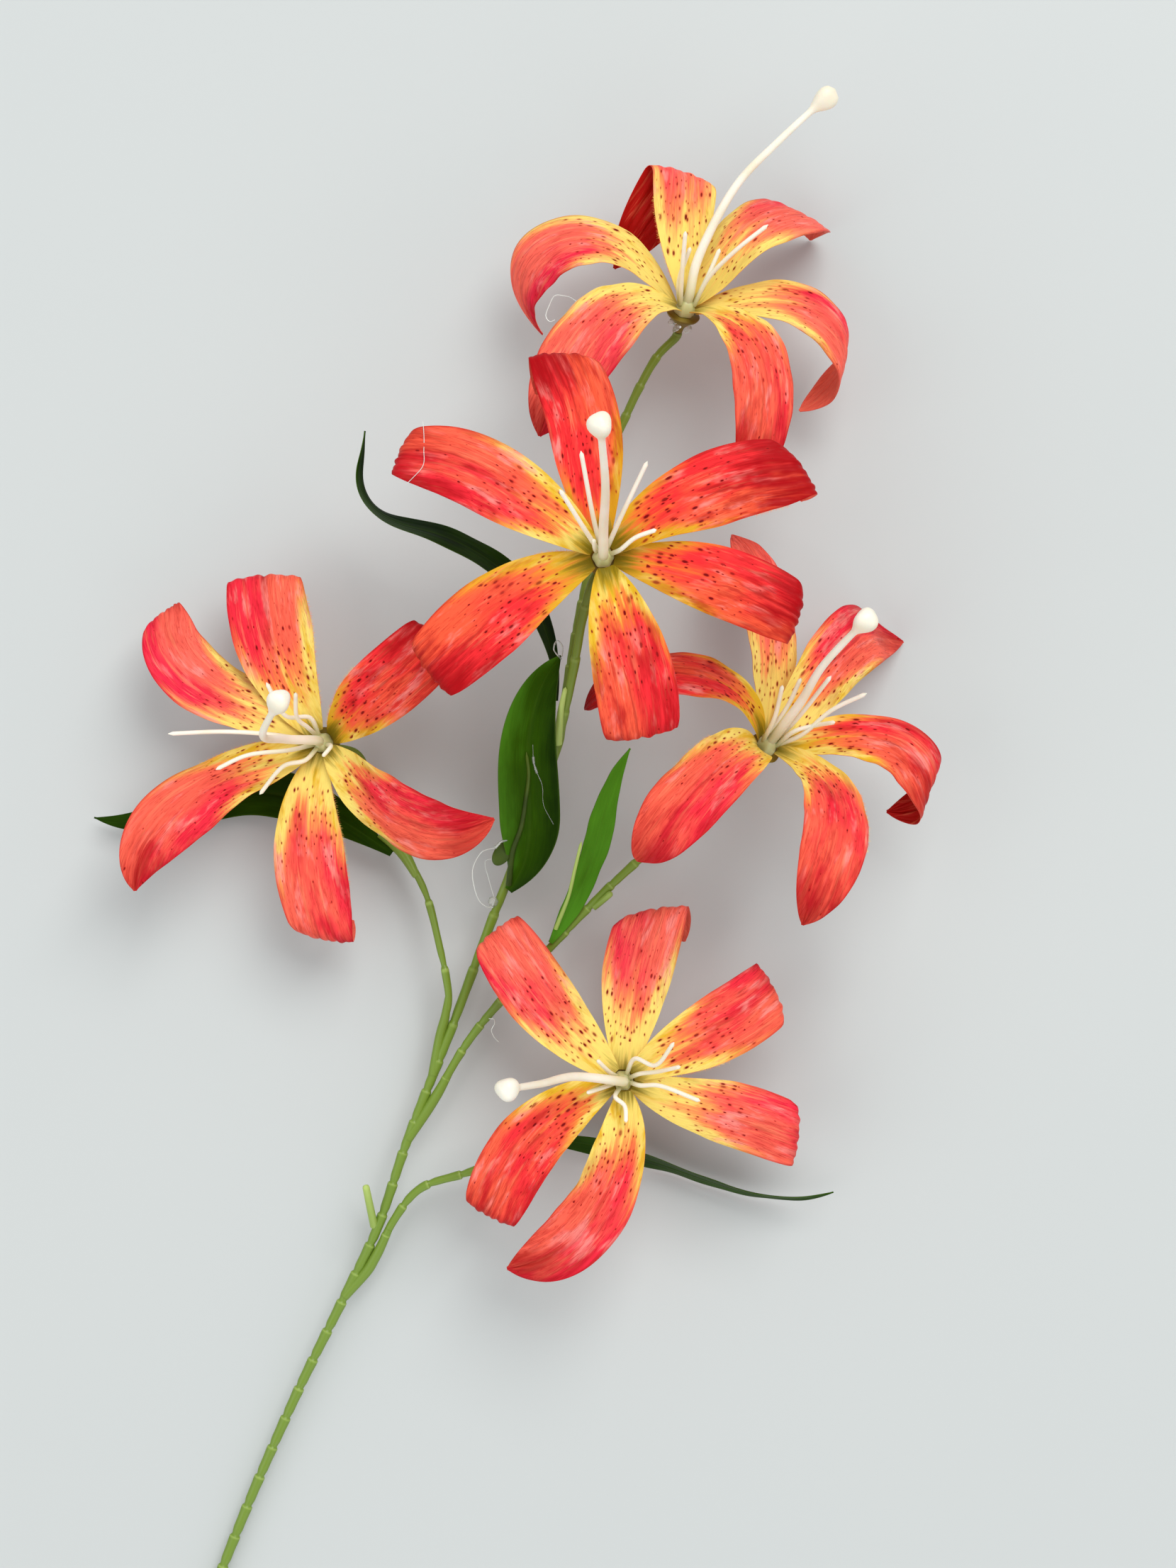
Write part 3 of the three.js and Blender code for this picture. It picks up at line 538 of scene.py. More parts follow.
def sheetObject(name, s, v, across, grid, length, look, seed, thickness, material):
    # A closed sheet round the grid, thinner at its margins, with its flat map
    rows, columns = grid.shape[:2]
    layer = rows * columns
    thin = gridNormals(grid) * thickness * (1 - 0.55 * np.abs(v) ** 10)[None, :, None] / 2
    points = np.vstack([(grid + thin).reshape(-1, 3), (grid - thin).reshape(-1, 3)])
    net = np.arange(layer).reshape(rows, columns)
    upper = np.stack([net[:-1, :-1], net[1:, :-1], net[1:, 1:], net[:-1, 1:]], axis=-1).reshape(-1, 4)
    rim = np.concatenate([net[0], net[1:, -1], net[-1, -2::-1], net[-2:0:-1, 0]])
    onward = np.roll(rim, -1)
    wall = np.stack([onward, onward + layer, rim + layer, rim], axis=1)
    faces = np.vstack([upper, upper[:, [0, 3, 2, 1]] + layer, wall])
    piece = addObject(name, points, faces.tolist(), material, sharpFrom=60)

    mesh = piece.data
    flat = np.stack(np.broadcast_arrays((v[None, :] + 1) / 2, s[:, None]), axis=2).reshape(-1, 2)
    corners = np.empty(len(mesh.loops), int)
    mesh.loops.foreach_get("vertex_index", corners)
    mesh.uv_layers.new(name="petalMap").data.foreach_set("uv", flat[corners % layer].ravel())
    place = np.stack(np.broadcast_arrays(across, (s * length)[:, None], seed), axis=2).reshape(-1, 3)
    addAttribute(mesh, "clothPlace", "FLOAT_VECTOR", np.vstack([place, place]))
    under = np.repeat([0, 1 + look[2]], layer)
    looks = np.stack(np.broadcast_arrays(under, look[0], look[1]), axis=1)
    addAttribute(mesh, "petalLook", "FLOAT_VECTOR", looks)
    return piece


def settle(piece, node=None):
    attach(piece, "root")
    if node:
        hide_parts(node)


# ---- Heads. A petal's turn, rise and roll run from root to tip, in degrees. Its fold is where along it, how
# slanting, how far round and how tight; its look is how much redder one side is, how red and dark it is, and
# how deep the underside is, in strong ink and in painted shade for undersides that lie in shadow
petalForm = {
    "length": 94, "thickness": 0.5, "rows": 113, "columns": 37,
    "root": 0.2, "widest": 0.5, "swell": 0.85, "taper": 2.4, "blunt": 0.8, "tipHalf": 0.5,
    "cup": [30, 10, -15, -15, -5],
    "ruffle": 0.4, "midrib": 0.3, "veins": 3.2, "veinDepth": 0.22, "start": 4.3, "tierStep": 1.8,
}
heads = {
    "flower1": {
        "hub": (71, 290.5, 41), "lean": 52, "toward": 72,
        "petals": {
            "left": dict(width=27, length=101, turn=[150, 157, 172, 176, 130],
                rise=[35, 22, -28, -88, -165], roll=[10, -5, -20, -35, -50], look=(1.4, -1.0, 0)),
            "top": dict(tier=2, width=25, length=97, turn=[100, 106, 108, 108, 108],
                rise=[45, 60, 62, 62, 62], roll=[0, -20, -25, -25, -25], fold=(0.44, 16, 170, 4),
                look=(0.3, -1.0, 1)),
            "upper_right": dict(tier=1, width=27, turn=[45, 30, 40, 65], rise=[35, 65, 10, -30, -60],
                roll=[-5, 0, 0, -20], look=(0.6, -1.0, 0.3)),
            "right": dict(width=27, length=101, turn=[3, -9, -19, -8, 22], rise=[25, 20, -18, -90, -150],
                roll=[0, 8, 12, 5, -5], look=(1.0, -0.8, 0)),
            "lower_right": dict(tier=1, width=26, turn=[-50, -65, -90, -110], rise=[35, 5, -30, -50, -75],
                roll=[0, 5, -10, -15], look=(0.3, -0.3, 0)),
            "lower_left": dict(tier=1, width=31, turn=[206, 217, 228, 235, 242],
                rise=[28, 5, -32, -55, -85], roll=[-5, 5, 0, -10], look=(0.9, -0.8, 0.2)),
        },
        "pistil": [(75.5, 308, 48), (90, 335, 57), (105, 350, 62), (123.5, 366.5, 66)],
        "filaments": [[(69.5, 301, 54), (70.5, 316, 66)], [(68.5, 300, 49), (72.5, 311, 61)],
            [(79.5, 301, 50), (89.5, 310, 59), (101.5, 318.5, 66)], [(80.5, 304, 51), (84, 312, 53)]],
    },
    "flower2": {
        "hub": (39.5, 191.5, 96), "lean": 3, "toward": 90,
        "petals": {
            "upper_left": dict(tier=1, width=27, turn=[142, 147, 153, 172, 190], rise=[20, 10, 10, -5, -30],
                roll=[0, 0, -5, 0, 0], fold=(0.81, 15, 130, 5), look=(1.3, -0.2, 0)),
            "top": dict(width=27, turn=[100, 97, 103, 120, 130], rise=[20, 10, 5, -10, -20],
                roll=[0, -5, -10, 0, 0], fold=(0.73, 25, 145, 4), look=(1.3, 0.4, 0.6)),
            "upper_right": dict(tier=1, width=28, turn=[42, 28, 18, 3, -10], rise=[20, 10, 5, 0, -30],
                roll=[-10, -15, 0, 0, 0], fold=(0.76, -25, 120, 5), look=(1.0, 0.3, 0)),
            "right": dict(width=26, turn=[-8, -14, -22, -30, -35], rise=[20, 5, 5, 0, -30],
                roll=[0, 5, 5, 0, 0], fold=(0.7, -10, 130, 5), look=(1.0, 0.3, 0)),
            "bottom": dict(tier=1, width=30, turn=[-77, -76, -79, -88, -95], rise=[35, 15, -5, -15, -30],
                roll=[0, 15, 10, 0, 0], fold=(0.66, -5, 85, 5), look=(0.8, 0.0, 0.6)),
            "lower_left": dict(width=30, turn=[200, 210, 220, 224, 226], rise=[15, 0, 0, -10, -20],
                roll=[5, 10, 0, 0, 0], fold=(0.73, 5, 120, 5), look=(1.1, 0.2, 0)),
        },
        "pistil": [(39.5, 200, 118), (40, 212, 148), (38, 229, 180)],
        "filaments": [[(36, 204, 110), (31.5, 226, 130)], [(33, 200, 110), (24, 213, 125)],
            [(45, 203, 110), (55, 223, 125)], [(45.5, 193.5, 103), (51, 197.5, 108), (58.5, 200, 112)],
            [(36.5, 194, 103), (36, 197, 107)]],
    },
    "flower3": {
        "hub": (-69, 125, 28.5), "lean": 12, "toward": 150,
        "petals": {
            "upper_left": dict(width=27, turn=[150, 155, 125, 70], rise=[20, 20, 20, -20, -30],
                roll=[5, 30, 20, 5], fold=(0.87, -30, 140, 3), look=(1.3, -1.0, 0.5)),
            "top": dict(tier=1, width=32, turn=[120, 111, 102, 98, 98], rise=[20, 20, 5, -15, -20],
                roll=[0, -5, 5, 5, 5], fold=(0.66, 5, 130, 5), look=(1.6, -0.4, 0)),
            "upper_right": dict(width=27, turn=[30, 30, 45, 52], rise=[50, 40, 10, -15, -20],
                roll=[5, 15, 15, 10], fold=(0.68, 0, 125, 5), look=(0.4, 0.2, 0)),
            "lower_right": dict(tier=1, width=27, turn=[-45, -40, -18, 30], rise=[25, 30, 25, 20, -5],
                roll=[0, 35, 25, 10], look=(1.2, -0.4, 0)),
            "bottom": dict(width=28, turn=[-102, -93, -83, -78, -78], rise=[20, 0, -5, -20, -25],
                roll=[0, -5, -10, 0, 0], fold=(0.74, 22, 115, 5), look=(0.8, -0.5, 0)),
            "lower_left": dict(tier=1, width=29, turn=[205, 205, 230, 260], rise=[20, 20, 15, 10, -30],
                roll=[5, 30, 0, -35], look=(1.0, -0.5, 0)),
        },
        "pistil": [(-81, 126, 55), (-85, 127.5, 90), (-77, 139, 107)],
        "filaments": [[(-87.5, 128, 40), (-104.5, 129, 45), (-125, 128, 55)],
            [(-81, 122, 38), (-96.5, 120, 42), (-108, 114.5, 47)],
            [(-75, 118, 38), (-82.5, 116, 41), (-91.5, 105, 45)], [(-65, 123.5, 37), (-68, 119.5, 39)],
            [(-74, 131, 39), (-77, 134, 45), (-76.5, 143.5, 57)],
            [(-73, 134.5, 37), (-81.5, 135, 45), (-88, 147.5, 53)]],
    },
    "flower4": {
        "hub": (102, 123.5, 48.5), "lean": 40, "toward": 52,
        "petals": {
            "left": dict(tier=1, width=24, turn=[138, 150, 165, 170, 175, 180],
                rise=[55, 20, -10, -35, -70, -100], roll=[0, 10, 10, 10, 5, 0], look=(0.6, 0.1, 0)),
            "top": dict(width=26, turn=[85, 90, 95, 105], rise=[25, 25, 10, -10, -35], roll=[10, 15, 5, -5],
                look=(0.2, -1.2, 1)),
            "upper_right": dict(tier=1, width=28, turn=[50, 50, 35, 5], rise=[25, 35, 10, -35, -15],
                roll=[5, 25, 15, -10], look=(1.5, -0.5, 0)),
            "right": dict(width=26, length=95, turn=[6, -19, -46, 0], rise=[25, 40, 15, -62, -165],
                roll=[-5, -5, 5, -45], look=(0.9, -0.2, 1)),
            "bottom": dict(tier=1, width=26, turn=[-42, -78, -102, -105, -80], rise=[30, 28, 5, -35, -90],
                roll=[0, 0, 10, 25], look=(0.3, -0.3, 0)),
            "lower_left": dict(width=29, turn=[210, 220, 230, 260], rise=[55, 20, -15, -42, -115],
                roll=[-5, 25, 20, 5], look=(0.9, -0.4, 0)),
        },
        "pistil": [(113, 139.5, 75), (119.5, 152, 95), (133, 167.5, 118)],
        "filaments": [[(104, 134, 65), (106, 145.5, 78)], [(108, 137, 67), (112.5, 148, 82)],
            [(113, 134, 62), (124, 149, 78)], [(114.5, 127.5, 59), (125, 136.5, 68), (137, 142.5, 80)],
            [(112, 129, 60), (119.5, 131, 63), (126, 132, 72)]],
    },
    "flower5": {
        "hub": (47.5, -5.5, 33.5), "lean": 3, "toward": 90,
        "petals": {
            "right": dict(width=26, turn=[-20, -15, -18, -26, -30], rise=[25, 10, 0, -10, -20],
                roll=[0, 15, 10, 0, 0], fold=(0.67, -16, 130, 5), look=(0.8, -0.7, 0)),
            "upper_right": dict(tier=1, width=27, turn=[33, 27, 32, 44, 46], rise=[20, 10, 0, -10, -20],
                roll=[0, 0], fold=(0.64, 10, 125, 5), look=(0.6, -0.4, 0)),
            "top": dict(width=28, turn=[85, 82, 75, 68, 66], rise=[25, 8, -5, -12, -20],
                roll=[0, 10, 5, 0, 0], fold=(0.63, -26, 125, 5), look=(0.9, -0.8, 0.3)),
            "upper_left": dict(tier=1, width=27, turn=[140, 133, 126, 123, 121], rise=[20, 10, 0, -15, -20],
                roll=[0, 15, 10, 0, 0], fold=(0.74, -5, 120, 5), look=(0.7, -0.7, 0)),
            "lower_left": dict(width=27, turn=[200, 216, 236, 248, 252], rise=[25, 12, 0, -15, -25],
                roll=[5, -10, -10, 0, 0], fold=(0.74, 5, 125, 5), look=(0.4, -0.1, 0)),
            "bottom": dict(tier=1, width=28, turn=[275, 250, 225, 190], rise=[25, 25, 5, -20, -30],
                roll=[0, 35, 25, -5], look=(0.8, -0.5, 0)),
        },
        "pistil": [(29.5, -1, 62), (16.5, -0.5, 92), (5, 0, 114)],
        "filaments": [[(42, -1, 44), (37.5, 4, 50)], [(40, -7, 44), (33.5, -8.5, 50)],
            [(44.5, -11, 42), (48, -14, 45), (48.5, -20, 48)],
            [(54, -6.5, 42), (61, -6, 47), (76.5, -11, 55)], [(54, -2, 42), (60, -1, 45), (69, 2, 55)],
            [(52, 4, 44), (59.5, 2, 50), (66.5, 11.5, 58)]],
    },
}


def onAxis(head, height):
    return np.array(head["hub"], float) + headAxes(head)[2] * height


petalGrids = {}
for name, head in heads.items():
    axes = headAxes(head)
    for key, blade in head["petals"].items():
        seed = 1 + len(petalGrids)
        heading = math.radians(blade["turn"][0])
        start = onAxis(head, blade.get("tier", 0) * petalForm["tierStep"])
        start = start + petalForm["start"] * (math.cos(heading) * axes[0] + math.sin(heading) * axes[1])
        length = blade.get("length", petalForm["length"])
        sheet = bladeGrid(start, axes, blade, length, petalForm, seed)
        petalGrids[f"{name}_{key}"] = sheet[3]
        finish = (length, blade["look"], seed, petalForm["thickness"], petalMaterial)
        piece = sheetObject(f"{name}_{key}_cloth", *sheet, *finish)
        settle(piece, f"{name}_petal_{key}")
print("petals made:", len(petalGrids))

# ---- Leaves
leafForm = {
    "thickness": 0.5, "rows": 121, "columns": 29,
    "root": 0.14, "widest": 0.42, "swell": 1.1, "taper": 1.7, "blunt": 0.85, "tipHalf": 0.35,
    "cup": [20, 12, 8, 8, 5],
    "ruffle": 0.3, "midrib": 0.12, "veins": 3, "veinDepth": 0.03,
}
leaves = {
    "leaf_a": dict(base=(3, 67.5, 19.9), length=104, width=23.5, widest=0.36, taper=2.8,
        turn=[50, 84, 92, 78, 50], rise=[27, 34, 26, 12, 0], roll=[0, 0], look=(0.3, 0.45, 0)),
    "leaf_b": dict(base=(22, 140.6, 50.1), length=141, width=16,
        turn=[89, 101, 112, 134, 146, 157, 166, 138, 86, 83], rise=[5, 8, 5, 0, 0],
        roll=[70, 58, 55, 58, 70, 78], look=(0.0, 0.1, 0)),
    "leaf_c": dict(base=(-43.3, 81.6, 13), length=126, width=19, turn=[144, 150, 168, 198, 192, 166],
        rise=[-3, -3, -2, 0], roll=[0, 0, 0, 10], look=(0.0, 0.2, 0)),
    "leaf_d": dict(base=(19.5, 47.5, 30.2), length=83, width=13, turn=[58, 67, 76, 58], rise=[18, 12, 8, 0],
        roll=[10, 45, 25, 30], look=(0.0, 1.0, 0)),
    "leaf_e": dict(base=(13.5, -30.3, 12.6), length=121, width=17, turn=[-5, -10, -17, -20, -16, -4, 18],
        rise=[-3, -2, 0, 0], roll=[20, 55, 72, 75, 60], look=(0.0, 0.3, 0)),
}
leafGrids = {}
for key, blade in leaves.items():
    seed = 41 + len(leafGrids)
    start, length = np.array(blade["base"], float), blade["length"]
    sheet = bladeGrid(start, np.identity(3), blade, length, leafForm, seed)
    leafGrids[key] = sheet[3]
    finish = (length, blade["look"], seed, leafForm["thickness"], leafMaterial)
    settle(sheetObject(f"{key}_cloth", *sheet, *finish), key)
print("leaves made:", len(leaves))


# ---- Round bars: filaments, styles and pegs
def smoothPath(points, count):
    # Centripetal curve through the points, evenly spaced
    points = [np.asarray(p, float) for p in points]
    points = [2 * points[0] - points[1]] + points + [2 * points[-1] - points[-2]]
    dense = [points[1][None, :]]
    for p0, p1, p2, p3 in zip(points, points[1:], points[2:], points[3:]):
        t1 = math.sqrt(np.linalg.norm(p1 - p0))
        t2 = t1 + math.sqrt(np.linalg.norm(p2 - p1))
        t3 = t2 + math.sqrt(np.linalg.norm(p3 - p2))
        t = np.linspace(t1, t2, 40)[1:, None]
        a1 = (t1 - t) / t1 * p0 + t / t1 * p1
        a2 = (t2 - t) / (t2 - t1) * p1 + (t - t1) / (t2 - t1) * p2
        a3 = (t3 - t) / (t3 - t2) * p2 + (t - t2) / (t3 - t2) * p3
        b1 = (t2 - t) / t2 * a1 + t / t2 * a2
        b2 = (t3 - t) / (t3 - t1) * a2 + (t - t1) / (t3 - t1) * a3
        dense.append((t2 - t) / (t2 - t1) * b1 + (t - t1) / (t2 - t1) * b2)
    dense = np.vstack(dense)
    reach = np.concatenate([[0], np.cumsum(np.linalg.norm(np.diff(dense, axis=0), axis=1))])
    even = np.linspace(0, reach[-1], count)
    return np.stack([np.interp(even, reach, dense[:, k]) for k in range(3)], axis=1), reach[-1]


def barPath(route, count, wide, slim):
    # Evenly spaced places along a route, how far each has come, and a radius that goes from wide to slim
    path, total = smoothPath(route, count)
    reach = np.linspace(0, total, count)
    return path, reach, wide + (slim - wide) * reach / total


def endRounding(fromEnd, radius):
    # Radius share near a rounded end
    left = np.clip(fromEnd / radius, 0, 1)
    return np.sqrt(np.clip(1 - (1 - left) ** 2, 0, 1))


def closedTube(rings, foot, tip):
    # Rings joined one to the next, and closed at both ends round a middle point
    count, sides = rings.shape[:2]
    net = np.arange(count * sides).reshape(count, sides)
    onward = np.roll(net, -1, axis=1)
    walls = np.stack([net[:-1], onward[:-1], onward[1:], net[1:]], axis=-1).reshape(-1, 4)
    middle = np.full(sides, net.size)
    low = np.stack([middle, onward[0], net[0]], axis=1)
    high = np.stack([middle + 1, net[-1], onward[-1]], axis=1)
    points = np.vstack([rings.reshape(-1, 3), foot, tip])
    return points, walls.tolist() + low.tolist() + high.tolist()


def loftBar(path, radii, sides, lobes=0.0):
    # Closed tube; lobes swells every ring by its own share of a three-lobed outline
    ahead = unit(np.gradient(path, axis=0))
    start = np.cross(ahead[0], (0, 0, 1))
    if np.linalg.norm(start) < 0.1:
        start = np.cross(ahead[0], (0, 1, 0))
    normal = [unit(start)]
    for step in ahead[1:]:
        normal.append(unit(normal[-1] - step * np.dot(normal[-1], step)))
    normal = np.array(normal)
    angle = np.linspace(0, 2 * np.pi, sides, endpoint=False)
    ring = radii[:, None] * (1 + np.reshape(lobes, (-1, 1)) * np.cos(3 * angle))
    rings = (path[:, None, :] + (ring * np.cos(angle))[:, :, None] * normal[:, None, :]
             + (ring * np.sin(angle))[:, :, None] * np.cross(ahead, normal)[:, None, :])
    return closedTube(rings, path[0], path[-1])


def turnProfile(origin, axes, profile, sides, ripple=0.0, ripples=0):
    # Turned solid on an axis; the profile runs from the axis at the foot to the axis on top
    radius, height = np.array(profile, float).T[:, :, None]
    angle = np.linspace(0, 2 * np.pi, sides, endpoint=False)
    swell = radius * (1 + ripple * np.cos(ripples * angle))
    rings = (origin + (swell * np.cos(angle))[:, :, None] * axes[0]
             + (swell * np.sin(angle))[:, :, None] * axes[1] + height[:, :, None] * axes[2])
    return closedTube(rings[1:-1], rings[0, 0], rings[-1, 0])


def solidObject(name, solids, material, shares=None, label="rootShare"):
    faces, shift = [], 0
    for points, solidFaces in solids:
        faces += [[index + shift for index in face] for face in solidFaces]
        shift += len(points)
    points = np.vstack([solid[0] for solid in solids])
    piece = addObject(name, points, faces, material, sharpFrom=50)
    if shares is not None:
        addAttribute(piece.data, label, "FLOAT", shares)
    return piece


stamenForm = {
    "hubRadius": 3.8, "hubBottom": -0.9, "hubHeight": 5, "filamentRadius": 0.9, "filamentTip": 0.8,
    "styleFoot": 4.6, "styleRadius": 1.9, "neckRadius": 1.15, "knobRadius": 4.2, "knobLength": 13,
}


def makeStamens(name, head):
    form = stamenForm
    axes, middle = headAxes(head), onAxis(head, 0)
    r, low, high, slim = form["hubRadius"], form["hubBottom"], form["hubHeight"], form["filamentRadius"]
    profile = [(0, low), (r, low), (r, 0.6), (r - 0.3, 1.9), (r - 0.8, 3.1), (r - 1.4, 4.0),
               (r - 2.1, high - 0.3), (0.9, high), (0, high)]
    solids = [turnProfile(middle, axes, profile, 36, ripple=0.06, ripples=6)]
    for route in head["filaments"]:
        outward = np.array(route[0], float) - middle
        outward = unit(outward - axes[2] * np.dot(outward, axes[2]))
        root = onAxis(head, high - 2 * slim) + outward * (r - slim)
        path, reach, radius = barPath([root, *route], 30, slim, form["filamentTip"])
        radius = radius * np.maximum(endRounding(reach[-1] - reach, 1.0), 0.12)
        solids.append(loftBar(path, radius, 12))
    away = np.linalg.norm(np.vstack([solid[0] for solid in solids]) - middle, axis=1)
    shares = np.clip(1 - (away - 2.5) / 9, 0, 1)
    piece = solidObject(f"{name}_bare_stamens", solids, stamenMaterial, shares)
    settle(piece, f"{name}_stamens")


def makePistil(name, head):
    form = stamenForm
    foot, last = onAxis(head, form["styleFoot"]), np.array(head["pistil"][-1], float)
    beforeLast = np.array(head["pistil"][-2], float)
    route = [foot, onAxis(head, form["styleFoot"] + 3), *head["pistil"], last + unit(last - beforeLast) * 4]
    path, reach, radius = barPath(route, 90, form["styleRadius"], form["neckRadius"])
    knob = np.clip(1 - (reach[-1] - reach) / form["knobLength"], 0, 1)
    swell = np.sin(np.pi / 2 * np.clip(knob / 0.66, 0, 1)) ** 1.9
    radius = radius + (form["knobRadius"] - radius) * swell
    closing = np.sqrt(np.clip(1 - np.clip((knob - 0.66) / 0.34, 0, 1) ** 2.4, 0, 1))
    points, faces = loftBar(path, np.maximum(radius * closing, 0.35), 30, 0.1 * swell)
    shares = np.clip(1 - np.linalg.norm(points - foot, axis=1) / 14, 0, 1) * 0.6
    piece = solidObject(f"{name}_style", [(points, faces)], stamenMaterial, shares)
    settle(piece, f"{name}_pistil")


cupForm = {"top": -1.2, "height": 8, "topRadius": 6.5, "footRadius": 1.65}


def makeCup(name, head):
    top, foot = cupForm["top"], cupForm["top"] - cupForm["height"]
    r, low = cupForm["topRadius"], cupForm["footRadius"]
    profile = [(0, foot), (low, foot), (low + 0.05, foot + 0.9), (low + 0.3, foot + 2.2),
               (low + 1.1, foot + 3.6), (low + 2.4, foot + 5.0), (r - 1.3, top - 1.9), (r - 0.4, top - 1.2),
               (r, top - 0.6), (r - 0.05, top - 0.25), (r - 0.5, top), (0, top)]
    solids = [turnProfile(onAxis(head, 0), headAxes(head), profile, 48, ripple=0.015, ripples=6)]
    settle(solidObject(f"{name}_cup", solids, cupMaterial), f"{name}_receptacle")


for name, head in heads.items():
    makeStamens(name, head)
    makePistil(name, head)
    makeCup(name, head)
print("stamens, styles and cups made")


# ---- Stems: nested segments along each route
stemForm = {
    "spacing": 13, "upperShare": 0.56, "flare": 0.2, "notch": 0.42, "sides": 18, "step": 0.4,
    "pathStep": 1.5, "cupGap": 0.3, "approach": 5,
}
stems = {
    "stem_main": {
        "head": "flower2", "low": 2.1, "high": 1.7, "evenTo": 410,
        "route": [(-171, -371.5, 2.25), (-111, -202, 3.8), (-83, -136, 7), (-62, -93, 10), (-49, -66, 13),
                  (-37, -31, 14), (-20.8, 10, 14.5), (-3, 57.5, 14.5), (11, 92.5, 27), (22, 124.5, 45),
                  (28.5, 152, 61), (32, 171, 73), (36, 184, 82)],
        "pegs": [([(-50.2, -65, 13), (-51.5, -56, 18.5), (-52.7, -47.3, 24)], 1.6, 1.4, (0.5, 1.0)),
                 ([(22.2, 124.5, 46.6), (23, 131, 50.6), (23.9, 138, 54.6), (25.6, 145.5, 58.6)],
                  1.9, 0.8, (0.8, 1.0))],
    },
    "stem_flower1": {
        "head": "flower1", "low": 1.6, "high": 1.6, "notch": 0.2, "approach": 2,
        "route": [(23.3, 129.5, 43.6), (29, 165, 43), (37, 205, 37), (42.5, 237, 34), (47, 247.5, 33.5),
                  (54, 262.5, 33.5), (61, 274.5, 33.5)],
    },
    "stem_flower3": {
        "head": "flower3", "low": 1.4, "high": 1.4, "notch": 0.3, "spacing": 27,
        "route": [(-24.5, 11.5, 15), (-20.7, 23, 17.5), (-21.7, 34, 18), (-24, 44.5, 17.5), (-30, 66.5, 15),
                  (-38.5, 81.5, 13), (-46, 90, 12.5), (-50, 104, 11), (-57, 121, 11)],
        "pegs": [([(-46.5, 90.6, 12.5), (-42.6, 86.6, 12.7), (-38.5, 81.5, 13), (-33, 72, 14.2)],
                  3.6, 1.5, (0.0, 0.1))],
    },
    "stem_flower4": {
        "head": "flower4", "low": 1.6, "high": 1.6, "notch": 0.22,
        "route": [(-27, -17.1, 15), (-20.5, -4.2, 17), (-12, 9.5, 19), (1, 25.5, 22), (18, 44, 27),
                  (37, 64, 31), (54, 80, 33), (80, 103, 38)],
        "pegs": [([(36.2, 61.2, 31), (39.6, 64, 32.4), (43.3, 67.2, 33.8)], 1.35, 1.25, (0.1, 0.5))],
    },
    "stem_flower5": {
        "head": "flower5", "low": 1.6, "high": 1.6, "notch": 0.3,
        "route": [(-50.4, -79.9, 12), (-42.4, -62.6, 14.5), (-32, -50, 15), (-9, -42, 15), (16, -26, 14),
                  (38, -12, 16)],
    },
}


def closeTree(shape, given, result):
    plain = wire(shape.tree, "GeometryNodeRealizeInstances", {"Geometry": shape})
    inputs = {"Geometry": plain, "Material": given["Material"]}
    feed(result["Geometry"], wire(shape.tree, "GeometryNodeSetMaterial", inputs))


def stemTree():
    # Geometry Nodes: a line becomes a bar of nested segments
    tree, given, result = newGroup("nestedStem", "GeometryNodeTree", [
        ("Geometry", "Geometry", None), ("Segment Length", "Float", 0.013), ("Low Radius", "Float", 0.0018),
        ("High Radius", "Float", 0.0015), ("Collar Flare", "Float", 0.00022),
        ("Joint Notch", "Float", 0.0003), ("Step", "Float", 0.00045), ("Sides", "Int", 18),
        ("Material", "Material", None),
    ], [("Geometry", "Geometry")])
    line = wire(tree, "GeometryNodeMeshToCurve", {"Mesh": given["Geometry"]})
    line = wire(tree, "GeometryNodeResampleCurve", {"Curve": line, "Length": given["Step"]}, mode="LENGTH")
    distance = wire(tree, "GeometryNodeInputNamedAttribute", {"Name": "distance"}, data_type="FLOAT")
    share = wire(tree, "GeometryNodeInputNamedAttribute", {"Name": "share"}, data_type="FLOAT")
    phase = calc("FRACT", distance / given["Segment Length"])
    straight = wire(tree, "ShaderNodeMapRange", {
        "Value": share, "To Min": given["Low Radius"], "To Max": given["High Radius"],
    }, "Result")
    fade = ramp(share, 0.45, 0.8, 1.0, 0.4)
    notch = calc("MAXIMUM", ramp(phase, 0.955, 1.0), ramp(phase, 0.0, 0.24, 1.0, 0.0)) * fade
    radius = straight + ramp(phase, 0.5, 0.94) * given["Collar Flare"] - notch * given["Joint Notch"]
    # Collar: a thin ring on each joint's lip that takes lighter paint, a painted highlight for the glint
    # there; it fades up the stem
    collar = ramp(phase, 0.9, 0.94, 0.0, 0.4) * ramp(phase, 0.96, 0.98, 1.0, 0.0) * fade
    line = wire(tree, "GeometryNodeStoreNamedAttribute", {
        "Geometry": line, "Name": "collar", "Value": collar,
    }, data_type="FLOAT", domain="POINT")
    inputs = {"Resolution": given["Sides"], "Radius": 1.0}
    outline = wire(tree, "GeometryNodeCurvePrimitiveCircle", inputs)
    outline = wire(tree, "GeometryNodeTransform", {"Geometry": outline, "Scale": (1.0, 0.94, 1.0)})
    bar = wire(tree, "GeometryNodeCurveToMesh", {
        "Curve": line, "Profile Curve": outline, "Scale": radius, "Fill Caps": True,
    })
    closeTree(wire(tree, "GeometryNodeSetShadeSmooth", {"Geometry": bar}), given, result)
    return tree


